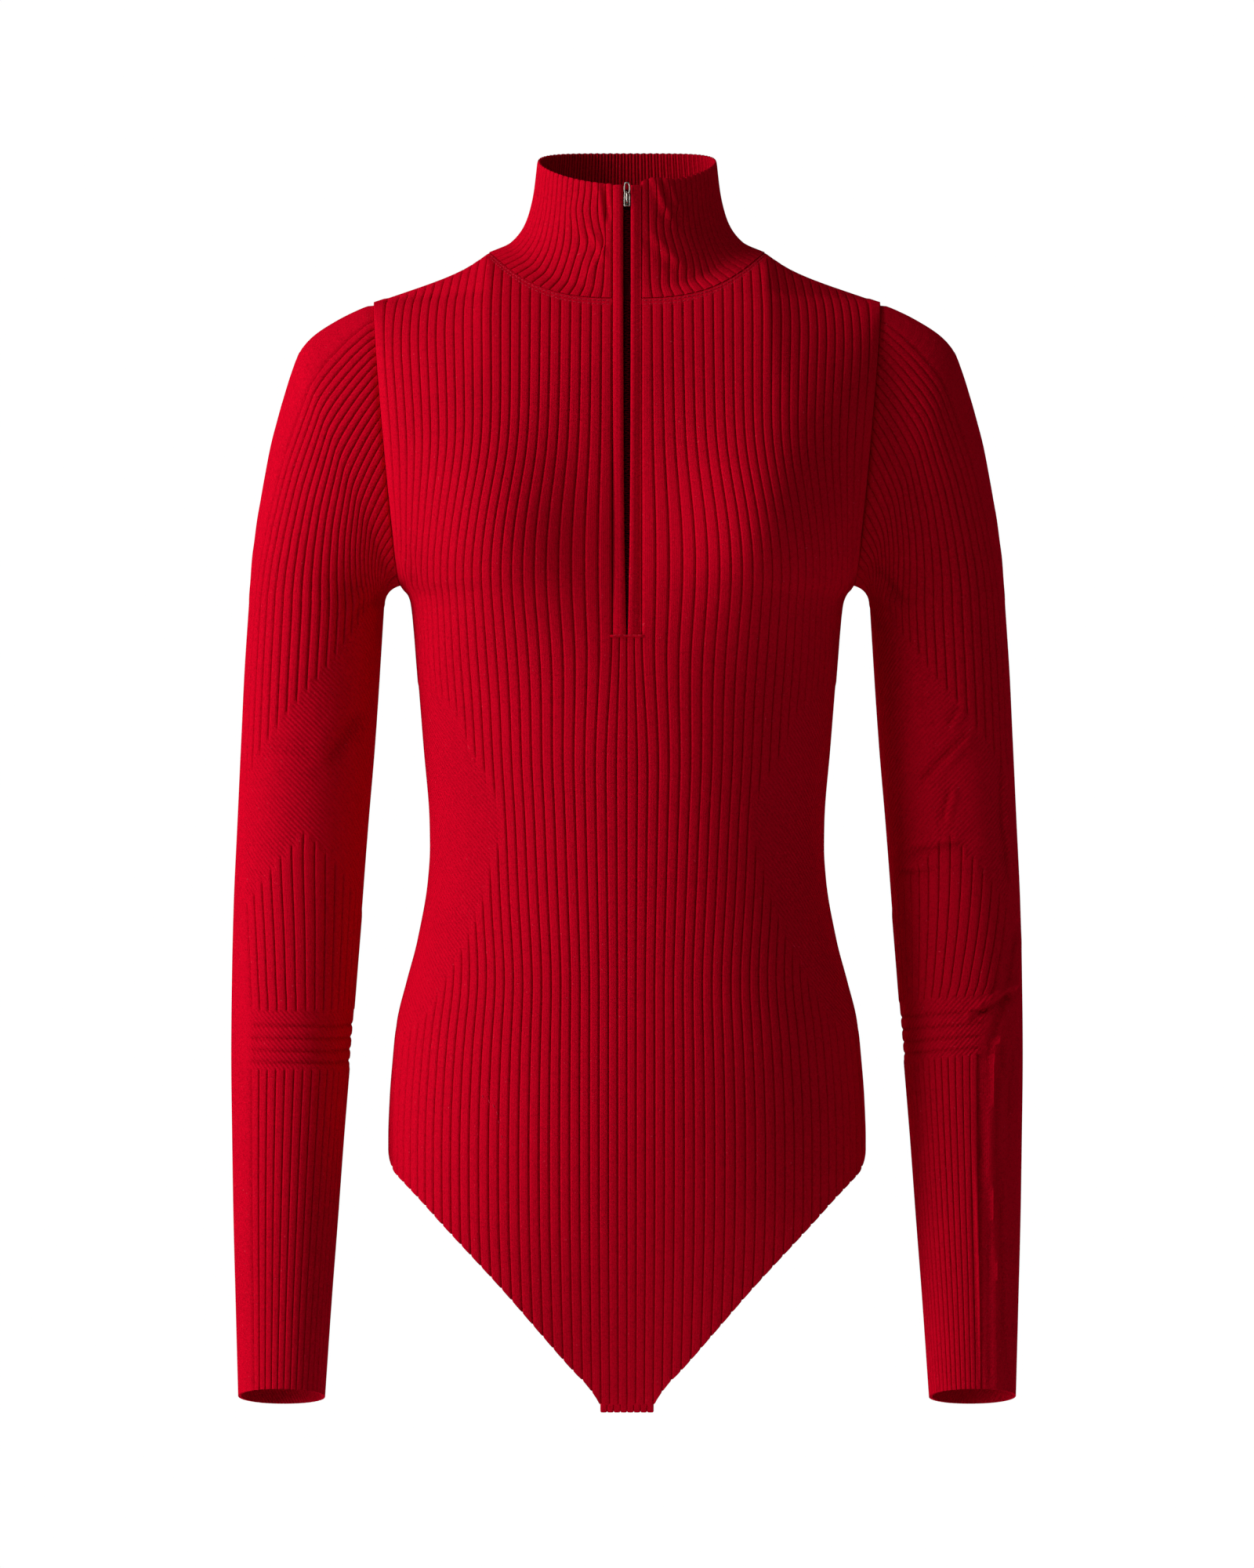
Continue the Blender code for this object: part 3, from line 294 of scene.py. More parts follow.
def smooth(table, column, at):
    """A table's column read along its first column, as a curve that never overshoots its rows."""
    rows = sorted(table)
    xs = np.array([row[0] for row in rows])
    ys = np.array([row[column] for row in rows])
    at = np.clip(np.asarray(at, float), xs[0], xs[-1])
    step = np.diff(xs)
    slope = np.diff(ys) / step
    tangent = np.zeros(len(xs))
    tangent[0], tangent[-1] = slope[0], slope[-1]
    same = slope[:-1] * slope[1:] > 0
    mean = 2 * slope[:-1] * slope[1:] / np.where(same, slope[:-1] + slope[1:], 1)
    tangent[1:-1] = np.where(same, mean, 0)
    i = np.clip(np.searchsorted(xs, at, side="right") - 1, 0, len(xs) - 2)
    t = (at - xs[i]) / step[i]
    return (
        ys[i] * (1 + 2 * t) * (1 - t) ** 2
        + tangent[i] * step[i] * t * (1 - t) ** 2
        + ys[i + 1] * t * t * (3 - 2 * t)
        + tangent[i + 1] * step[i] * t * t * (t - 1)
    )


def ease(low, high, at):
    t = np.clip((np.asarray(at, float) - low) / (high - low), 0, 1)
    return t * t * (3 - 2 * t)


def bell(at, middle, spread):
    return np.exp(-(((np.asarray(at, float) - middle) / spread) ** 2))


def superellipse(share, roundness):
    """Depth left at this share of the half width, both from 0 to 1."""
    return np.clip(1 - np.clip(share, 0, 1) ** roundness, 0, 1) ** (1 / roundness)


def unit(vectors):
    return vectors / np.maximum(np.linalg.norm(vectors, axis=-1, keepdims=True), 1e-9)


def run_length(points):
    """Length along a line up to each of its points."""
    return np.concatenate([[0], np.cumsum(np.linalg.norm(np.diff(points, axis=0), axis=1))])


def read_along(at, length, values):
    """Values of a line's points read at these lengths."""
    return np.stack([np.interp(at, length, values[:, k]) for k in range(values.shape[1])], axis=-1)


def rib_columns(ribs, places):
    """Mesh columns across this many ribs, counted in ribs from the first groove."""
    columns = [rib + place for rib in range(ribs) for place in places]
    return np.array(columns + [ribs], float)


def rib_drop(phase):
    """Depth below a rib's top at a place counted in ribs: rounded ridges, narrow grooves."""
    from_top = np.abs(2 * (phase - np.floor(phase)) - 1)
    return RIB_ARCH * from_top**3 + RIB_GROOVE * ease(0.79, 1.0, from_top)


# Painted shade across a rib: none on its top, darkest in the groove
def groove_shade(phase):
    return ease(0.8, 1.0, np.abs(2 * (phase - np.floor(phase)) - 1))


def crease_rise(x, z, creases):
    """Height that creases add at a place. Each runs from one point to another, with its width and rise."""
    rise = np.zeros(np.broadcast(x, z).shape)
    for x0, z0, x1, z1, width, height in creases:
        along_x, along_z = x1 - x0, z1 - z0
        length = math.hypot(along_x, along_z)
        t = ((x - x0) * along_x + (z - z0) * along_z) / length**2
        off = ((x - x0) * along_z - (z - z0) * along_x) / length
        ends = ease(-0.15, 0.2, t) * (1 - ease(0.8, 1.15, t))
        rise += height * ends * (bell(off, 0, width) - 0.55 * bell(off, 1.7 * width, 1.2 * width))
    return rise


# The body's surface


def ribs_start(z):
    """How far from the middle the ribs beside the bridge start at this height."""
    fanned = ease(0, FAN_LENGTH, SLOT_BOTTOM - z)
    return SLOT_HALF_WIDTH + (BRIDGE_RIBS * smooth(RIB_PITCH, 1, z) - SLOT_HALF_WIDTH) * fanned


def ribs_across(t, z):
    """Share of the width beside the bridge at which a column lies, t being its share of the ribs."""
    ribs_wide = (PANEL_RIBS - BRIDGE_RIBS) / (smooth(BODY, 1, z) - ribs_start(z))
    start = smooth(RIB_PITCH, 1, z) * ribs_wide
    end = smooth(RIB_PITCH, 2, z) * ribs_wide
    first = 2 * start / math.pi
    crowded = np.sin(math.pi / 2 * (first * t + (1 - first) * t * t))
    spread = start * t * (1 - t) ** 2 + end * t * t * (t - 1) + t * t * (3 - 2 * t)
    evenly = np.maximum(ease(CROWDED_Z, SPREAD_Z, z), 1 - ease(HIP_RIBS_Z, WAIST_RIBS_Z, z))
    return crowded + (spread - crowded) * evenly


def column_x(u, z):
    """Where a column of the panel lies at this height: u is 0 at the middle and 1 at the edge."""
    z = np.minimum(z, COLUMN_TOP_Z)
    bridge = BRIDGE_RIBS / PANEL_RIBS
    inner = ribs_start(z)
    width = smooth(BODY, 1, z)
    size = np.abs(u)
    t = np.clip((size - bridge) / (1 - bridge), 0, 1)
    outer, even_inner, even_width = 0, 0, 0
    for off, weight in EVENED_OVER:
        level = np.minimum(z + off, COLUMN_TOP_Z)
        level_inner, level_width = ribs_start(level), smooth(BODY, 1, level)
        outer = outer + weight * (level_inner + (level_width - level_inner) * ribs_across(t, level))
        even_inner = even_inner + weight * level_inner
        even_width = even_width + weight * level_width
    outer = outer + (inner - even_inner) * (1 - t) ** 3 + (width - even_width) * t**5
    return np.sign(u) * np.where(size < bridge, inner * size / bridge, outer)


ARMPIT_Z = PIVOT_Z + PIVOT_RADIUS * math.cos(math.radians(ARMHOLE_TILT))


def armhole_half_depth(z):
    lean = math.cos(math.radians(ARMHOLE_TILT))
    centre = (ARMHOLE_OUTER_RADIUS + PIVOT_RADIUS) / 2 * lean + PIVOT_Z
    half = (ARMHOLE_OUTER_RADIUS - PIVOT_RADIUS) / 2 * lean
    return ARMHOLE_HALF_DEPTH * superellipse(np.abs(z - centre) / half, ARMHOLE_ROUNDNESS)


SOFT_SPREAD = 13.0
SOFT_HEIGHTS = np.arange(-300.0, 1.0, 2.0)
SOFT_WEIGHTS = np.exp(-(((SOFT_HEIGHTS[:, None] - SOFT_HEIGHTS) / SOFT_SPREAD) ** 2))
SOFT_DEPTHS = (SOFT_WEIGHTS * armhole_half_depth(SOFT_HEIGHTS)).sum(axis=1) / SOFT_WEIGHTS.sum(axis=1)


def armhole_depth(share, z):
    """The armhole's half depth, eased over the armpit away from the armhole's own edge."""
    edge = armhole_half_depth(z)
    soft = np.interp(z, SOFT_HEIGHTS, SOFT_DEPTHS)
    inside = (1 - ease(0.86, 0.995, share)) * (1 - ease(-150.0, -110.0, z))
    return edge + (soft - edge) * inside


def neckline(x, face):
    height = -NECK_FRONT_DROP if face == FRONT else NECK_BACK_RISE
    return height * (1 - np.clip(np.abs(x) / NECK_HALF_WIDTH, 0, 1) ** 3)


def top_line(x, face):
    """Height at which front and back would meet over this place, also inside the neck."""
    rise = TRAPEZIUS_FRONT if face == FRONT else TRAPEZIUS_BACK
    x = np.abs(x)
    inside = rise * (1 - np.clip(x / NECK_HALF_WIDTH, 0, 1) ** 2)
    return np.where(x < NECK_HALF_WIDTH, inside, smooth(SHOULDER, 1, x))


def panel_top(x, face):
    x = np.abs(x)
    return np.where(x < NECK_HALF_WIDTH, neckline(x, face), smooth(SHOULDER, 1, x))


# The stretched knit lies this much flatter over the cups than their cut
CUP_FLATTENING = 0.22


def cups(x, z):
    spread_z = np.where(z > CUP_Z, CUP_SPREAD_UP, CUP_SPREAD_DOWN)
    across = (np.abs(x) - CUP_X) ** 2 / (2 * CUP_SPREAD_X**2)
    rise = CUP_RISE * (1 - CUP_FLATTENING * ease(6, 30, np.abs(x)))
    return rise * np.exp(-across - (z - CUP_Z) ** 2 / (2 * spread_z**2))


def body_point(x, z, face):
    """The point of the front or back at this place, as seen from the front."""
    width = smooth(BODY, 1, z)
    share = np.clip(np.abs(x) / width, 0, 1)
    below = np.clip((top_line(x, face) - z) / SHOULDER_ROLL, 0, 1)
    full = smooth(BODY, 2 if face == FRONT else 3, z) * np.sqrt(1 - (1 - below) ** 2)
    edge = armhole_depth(share, z)
    depth = edge + (full - edge) * superellipse(share, smooth(BODY, 4, z))
    if face == FRONT:
        depth = depth + cups(x, z) * (1 - share**4) * below
    return np.stack(np.broadcast_arrays(x, face * depth, z), axis=-1)


def body_normal(x, z, face):
    """Outward unit normal of the front or back."""
    reach = 0.5
    across = body_point(x + reach, z, face) - body_point(x - reach, z, face)
    down = body_point(x, z + reach, face) - body_point(x, z - reach, face)
    return unit(np.cross(across, down)) * -face


def column_bottom(u):
    """Height at which a column meets the leg line or the crotch."""
    heights = np.linspace(LEG_LINE[0][0], CROTCH_Z, 240)
    leg = smooth(LEG_LINE, 1, heights)
    found = []
    for size in np.abs(np.atleast_1d(u)):
        outside = column_x(size, heights) - leg
        k = int(np.argmax(outside > 0))
        if outside[0] > 0:
            found.append(heights[0])
        elif outside.max() <= 0:
            found.append(CROTCH_Z)
        else:
            share = outside[k - 1] / (outside[k - 1] - outside[k])
            found.append(heights[k - 1] + share * (heights[k] - heights[k - 1]))
    return np.array(found)


# Meshes


class Wall:
    """Collects the points and faces of one closed wall, with the knit's own coordinates at each point."""

    def __init__(self):
        self.points = []
        self.knit = []
        # groove holds painted shade: the share of deep red that grooves, crease valleys and inner faces are
        # drawn with
        self.groove = []
        self.plain = []
        self.count = 0
        self.faces = []

    def add(self, grid, wale=0.0, course=0.0, groove=0.0, plain=0.0):
        """Adds a grid of points and gives back their numbers in the same layout."""
        grid = np.asarray(grid, float)
        shape = grid.shape[:-1]
        size = int(np.prod(shape))
        self.points.append(grid.reshape(-1, 3))
        knit = [np.broadcast_to(values, shape).reshape(-1) for values in (wale, course)]
        self.knit.append(np.stack([*knit, np.zeros(size)], axis=1))
        self.groove.append(np.broadcast_to(groove, shape).reshape(-1))
        self.plain.append(np.broadcast_to(plain, shape).reshape(-1))
        first = self.count
        self.count += size
        return np.arange(first, self.count).reshape(shape)

    def sheet(self, numbers, closed=False):
        if closed:
            numbers = np.concatenate([numbers, numbers[:, :1]], axis=1)
        corners = (numbers[:-1, :-1], numbers[:-1, 1:], numbers[1:, 1:], numbers[1:, :-1])
        self.faces.extend(np.stack(corners, axis=-1).reshape(-1, 4).tolist())

    def strip(self, first, first_at, second, second_at):
        """Joins two edges with different numbers of points by triangles, in the order of their places."""
        i = j = 0
        while i < len(first) - 1 or j < len(second) - 1:
            ahead = i < len(first) - 1
            if ahead and j < len(second) - 1:
                ahead = first_at[i + 1] + first_at[i] <= second_at[j + 1] + second_at[j]
            if ahead:
                self.faces.append([int(first[i]), int(first[i + 1]), int(second[j])])
                i += 1
            else:
                self.faces.append([int(first[i]), int(second[j + 1]), int(second[j])])
                j += 1

    def shell(self, outside, inside):
        """Joins two grids of one layout into a closed wall."""
        self.sheet(outside)
        self.sheet(inside)
        for row in (0, -1):
            self.sheet(np.stack([outside[row], inside[row]]))
        for column in (0, -1):
            self.sheet(np.stack([outside[:, column], inside[:, column]], axis=1))

    def close_ends(self, numbers):
        """Closes a tube's two ends with a face each."""
        for end in (numbers[0], numbers[-1]):
            self.faces.append([int(number) for number in end])

    def make(self, name, finish):
        points = np.concatenate(self.points) * MM
        used = np.unique(np.concatenate([np.asarray(face) for face in self.faces]))
        order = np.full(self.count, -1)
        order[used] = np.arange(len(used))
        mesh = bpy.data.meshes.new(name)
        faces = [[int(order[number]) for number in face] for face in self.faces]
        mesh.from_pydata(points[used].tolist(), [], faces)
        work = bmesh.new()
        work.from_mesh(mesh)
        bmesh.ops.recalc_face_normals(work, faces=work.faces)
        if work.calc_volume(signed=True) < 0:
            bmesh.ops.reverse_faces(work, faces=work.faces)
        work.to_mesh(mesh)
        work.free()
        knit = mesh.attributes.new("knit", "FLOAT_VECTOR", "POINT")
        knit.data.foreach_set("vector", np.concatenate(self.knit)[used].astype(np.float32).ravel())
        for attribute, values in (("groove", self.groove), ("plain", self.plain)):
            made = mesh.attributes.new(attribute, "FLOAT", "POINT")
            made.data.foreach_set("value", np.concatenate(values)[used].astype(np.float32))
        mesh.materials.append(finish)
        mesh.shade_smooth()
        mesh.set_sharp_from_angle(angle=math.radians(60))
        thing = bpy.data.objects.new(name, mesh)
        bpy.context.scene.collection.objects.link(thing)
        return thing


# Finishes

# Yarn height of the fine knit, in stitches, and its bump in metres
STITCH_SLANT = 0.9
STITCH_LOOP = 0.4
TWILL_TURN = 0.55 * math.pi
TWILL_HEIGHT = 2.4
FUZZ_HEIGHT = 1.6
KNIT_BUMP = 0.00016
# Colour drawn towards the deep red: painted shade in the grooves, the yarn's own tone along the twill's
# ridges and everywhere
GROOVE_SHADE = 0.38
TWILL_SHADE = -0.045
EVEN_SHADE = 0.08
# Noise scales of the yarn, with their detail and how much they shade
FUZZ = (1500.0, 3.0, 1.1)
CELLS = (700.0, 2.0, 0.8)
DRIFT = (14.0, 4.0, 0.25)
SPECK_SHARE = 0.45
# PALE_SHARE: how strongly the painted highlight specks near the bust lighten the grooves
PALE_SHARE = 0.6
# Places of the painted highlight specks near the bust points, to each side, and how far they reach
BUST_HIGHLIGHT_X = 92.0
BUST_HIGHLIGHT_Y = -104.0
BUST_HIGHLIGHT_Z = -168.0
BUST_HIGHLIGHT_REACH = 44.0


def node(tree, kind, **settings):
    made = tree.nodes.new(kind)
    for key, value in settings.items():
        setattr(made, key, value)
    return made


def wire(tree, source, target):
    tree.links.new(source, target)


def sums(tree, operation, first, second=None):
    """A Math node whose inputs are sockets or numbers. Gives its output socket."""
    made = node(tree, "ShaderNodeMath", operation=operation)
    for place, value in enumerate((first, second)):
        if value is None:
            continue
        if isinstance(value, (int, float)):
            made.inputs[place].default_value = value
        else:
            wire(tree, value, made.inputs[place])
    return made.outputs[0]


def times(tree, first, second):
    return sums(tree, "MULTIPLY", first, second)


def plus(tree, first, second):
    return sums(tree, "ADD", first, second)


def noise(tree, spot, scale, detail):
    made = node(tree, "ShaderNodeTexNoise")
    made.inputs["Scale"].default_value = scale
    made.inputs["Detail"].default_value = detail
    wire(tree, spot, made.inputs["Vector"])
    return made.outputs["Fac"]


def stretch(tree, value, low, high):
    """The value made to run from 0 at low to 1 at high."""
    made = node(tree, "ShaderNodeMapRange", clamp=True)
    made.inputs["From Min"].default_value = low
    made.inputs["From Max"].default_value = high
    wire(tree, value, made.inputs["Value"])
    return made.outputs["Result"]


def blend(tree, factor, first, second):
    """The first colour turned into the second by a factor. A colour is a socket or four numbers."""
    made = node(tree, "ShaderNodeMix", data_type="RGBA")
    wire(tree, factor, made.inputs["Factor"])
    for key, colour in (("A", first), ("B", second)):
        if isinstance(colour, tuple):
            made.inputs[key].default_value = colour
        else:
            wire(tree, colour, made.inputs[key])
    return made.outputs["Result"]


def raise_surface(tree, shader, height, strength, distance):
    bump = node(tree, "ShaderNodeBump")
    bump.inputs["Strength"].default_value = strength
    bump.inputs["Distance"].default_value = distance
    wire(tree, height, bump.inputs["Height"])
    wire(tree, bump.outputs["Normal"], shader.inputs["Normal"])


def blank_material(name, roughness, metallic=0.0):
    """A new material with its nodes, its shader and the place on the object."""
    made = bpy.data.materials.new(name)
    made.use_nodes = True
    tree = made.node_tree
    shader = tree.nodes["Principled BSDF"]
    shader.inputs["Roughness"].default_value = roughness
    shader.inputs["Metallic"].default_value = metallic
    return made, tree, shader, node(tree, "ShaderNodeTexCoord").outputs["Object"]


def knit_material(name, lit, deep, speck_and_highlight):
    """Fine knit in one yarn: stitches and twill as bump, painted shade in the grooves, a little drift, pale
    specks and painted highlight specks near the bust.
    """
    made, tree, shader, spot = blank_material(name, 0.85)
    shader.inputs["Specular IOR Level"].default_value = 0.0
    shader.inputs["Sheen Weight"].default_value = 0.05
    shader.inputs["Sheen Roughness"].default_value = 0.4
    shader.inputs["Sheen Tint"].default_value = (0.9, 0.0, 0.04, 1.0)
    groove = node(tree, "ShaderNodeAttribute", attribute_name="groove").outputs["Fac"]
    plain = node(tree, "ShaderNodeAttribute", attribute_name="plain").outputs["Fac"]
    split = node(tree, "ShaderNodeSeparateXYZ")
    wire(tree, node(tree, "ShaderNodeAttribute", attribute_name="knit").outputs["Vector"], split.inputs[0])
    wale, course = split.outputs[0], split.outputs[1]
    # Each stitch is a V: its height runs along the course, shifted by how far it is from the wale's middle
    off = sums(tree, "ABSOLUTE", sums(tree, "SUBTRACT", sums(tree, "FRACT", wale), 0.5))
    slant = plus(tree, course, times(tree, off, STITCH_SLANT))
    loops = sums(tree, "SINE", times(tree, slant, 2 * math.pi))
    gaps = sums(tree, "POWER", times(tree, off, 2.0), 3.0)
    stitches = sums(tree, "SUBTRACT", times(tree, loops, STITCH_LOOP), gaps)
    diagonal = times(tree, plus(tree, wale, course), TWILL_TURN)
    twill = times(tree, times(tree, sums(tree, "SINE", diagonal), TWILL_HEIGHT), plain)
    fuzz, cells, drift = (noise(tree, spot, scale, detail) for scale, detail, _ in (FUZZ, CELLS, DRIFT))
    height = plus(tree, plus(tree, stitches, twill), times(tree, fuzz, FUZZ_HEIGHT))
    raise_surface(tree, shader, height, 0.6, KNIT_BUMP)
    # Painted shade: grooves, crease valleys and inner faces are drawn towards the deep red by the groove
    # attribute; the rest of the mix is the yarn's own tone
    shade = plus(tree, times(tree, groove, GROOVE_SHADE), times(tree, twill, TWILL_SHADE))
    shade = plus(tree, shade, EVEN_SHADE)
    for value, amount in ((cells, CELLS[2]), (drift, DRIFT[2]), (fuzz, FUZZ[2])):
        shade = plus(tree, shade, times(tree, sums(tree, "SUBTRACT", value, 0.5), amount))
    shade.node.use_clamp = True
    # Painted highlight: short pale lengths in the grooves near the two bust points, broken up by noise
    near_bust_highlight = 0.0
    for side in (-1, 1):
        away = node(tree, "ShaderNodeVectorMath", operation="DISTANCE")
        wire(tree, spot, away.inputs[0])
        away.inputs[1].default_value = (side * BUST_HIGHLIGHT_X * MM, BUST_HIGHLIGHT_Y * MM, BUST_HIGHLIGHT_Z * MM)
        near = stretch(tree, away.outputs["Value"], BUST_HIGHLIGHT_REACH * MM, 0.4 * BUST_HIGHLIGHT_REACH * MM)
        near_bust_highlight = plus(tree, near, near_bust_highlight)
    broken = stretch(tree, noise(tree, spot, 240.0, 2.0), 0.52, 0.6)
    in_groove = stretch(tree, groove, 0.75, 0.95)
    pale = times(tree, times(tree, times(tree, near_bust_highlight, broken), in_groove), PALE_SHARE)
    dots = times(tree, stretch(tree, noise(tree, spot, 620.0, 1.0), 0.74, 0.79), SPECK_SHARE)
    yarn = blend(tree, sums(tree, "MAXIMUM", dots, pale), blend(tree, shade, lit, deep), speck_and_highlight)
    wire(tree, yarn, shader.inputs["Base Color"])
    return made


def metal_material():
    """Polished zinc with fine scratches and duller patches."""
    made, tree, shader, spot = blank_material("slider_metal", 0.25, 1.0)
    wear = noise(tree, spot, 900.0, 5.0)
    wire(tree, plus(tree, times(tree, wear, 0.3), 0.12), shader.inputs["Roughness"])
    worn = blend(tree, wear, (0.62, 0.58, 0.52, 1.0), (0.34, 0.31, 0.28, 1.0))
    wire(tree, worn, shader.inputs["Base Color"])
    raise_surface(tree, shader, wear, 0.2, 0.00005)
    return made


def woven_material(name, lit, deep, across, roughness):
    """Fine woven tape: threads run along it, crossed by others."""
    made, tree, shader, spot = blank_material(name, roughness)
    shader.inputs["Specular IOR Level"].default_value = 0.05
    threads = []
    for direction in ("X", "Z"):
        wave = node(tree, "ShaderNodeTexWave", bands_direction=direction)
        wave.inputs["Scale"].default_value = across
        wave.inputs["Distortion"].default_value = 0.4
        wire(tree, spot, wave.inputs["Vector"])
        threads.append(wave.outputs["Fac"])
    weave = times(tree, *threads)
    wire(tree, blend(tree, weave, deep, lit), shader.inputs["Base Color"])
    raise_surface(tree, shader, weave, 0.5, 0.0001)
    return made


# The deep red takes the painted shade as well as the yarn's darker tone, and the pale colour the specks and
# the painted highlights near the bust
KNIT = knit_material("rib_knit_red", (0.62, 0.0014, 0.017, 1), (0.16, 0.0, 0.003, 1), (0.75, 0.05, 0.08, 1))
TAPE = woven_material("zip_tape_red", (0.10, 0.001, 0.006, 1), (0.04, 0.0, 0.002, 1), 420.0, 0.8)
COIL = woven_material("zip_coil_red", (0.22, 0.002, 0.012, 1), (0.12, 0.0, 0.006, 1), 900.0, 0.45)
THREAD = woven_material("seam_thread_red", (0.8, 0.06, 0.1, 1), (0.5, 0.01, 0.03, 1), 900.0, 0.6)
METAL = metal_material()


# Front and back

UPPER_ROWS = 64
SLOT_ROWS = 10
LOWER_ROWS = 122
PANEL_COLUMNS = rib_columns(PANEL_RIBS, RIB_COLUMNS)
INNER_ROW_STEP = 2
INNER_COLUMN_STEP = 3
# The ribs flatten out into the shoulder seam, and a plain band one rib wide runs along the armhole
SEAM_FADE = 5.0
SEAM_DROP = 0.5
NECK_FADE = 5.0
BAND_DROP = 0.05
FRONT_CREASES = (
    (-127.0, -172.0, -119.0, -196.0, 2.2, 0.8),
    (-121.0, -166.0, -113.0, -188.0, 2.0, 0.5),
    (127.0, -172.0, 119.0, -196.0, 2.2, 0.8),
    (121.0, -166.0, 113.0, -188.0, 2.0, 0.5),
)


def shoulder_lean(u):
    """How far each column lies towards the neck at its top. One column ends at the neck's corner."""
    size = np.abs(u)
    lean = SHOULDER_LEAN * ease(0.4, 0.7, size) * (1 - ease(0.93, 1.0, size))
    top = np.abs(column_x(u, COLUMN_TOP_Z)) - lean
    half = u >= 0
    for side in (half, u <= 0):
        nearest = np.flatnonzero(side)[np.argmin(np.abs(top[side] - NECK_HALF_WIDTH))]
        lean[nearest] += top[nearest] - NECK_HALF_WIDTH
    return lean * np.sign(u)


def panel_grid(u, face):
    """Places across and heights of every row of a panel at each of its columns."""
    lean = shoulder_lean(u)
    top = panel_top(column_x(u, COLUMN_TOP_Z) - lean, face)
    bottom = column_bottom(u)
    upper = np.linspace(0, 1, UPPER_ROWS, endpoint=False) ** 1.2
    slot = np.linspace(0, SLOT_SHARE, SLOT_ROWS, endpoint=False)
    lower = np.linspace(SLOT_SHARE, 1, LOWER_ROWS)
    rows = [top + (ARMPIT_Z - top) * share for share in upper]
    rows += [ARMPIT_Z + (bottom - ARMPIT_Z) * share for share in (*slot, *lower)]
    z = np.array(rows)
    leaning = np.clip(1 - (top - z) / SHOULDER_LEAN_HEIGHT, 0, 1) ** 2
    x = column_x(u[None, :], z) - lean * leaning
    return x, z


def armhole_centre(side):
    radius = (ARMHOLE_OUTER_RADIUS + PIVOT_RADIUS) / 2
    tilt = math.radians(ARMHOLE_TILT)
    across, up = radius * math.sin(tilt), radius * math.cos(tilt)
    return np.array([side * (PIVOT_X + across), 0, PIVOT_Z + up])


def armhole_normal(side):
    tilt = math.radians(ARMHOLE_TILT)
    return np.array([side * math.cos(tilt), 0, -math.sin(tilt)])


def waist_plain(x, z):
    return ease(-WAIST_FADE, WAIST_FADE, np.abs(x) - smooth(WAIST_PANEL, 1, z))


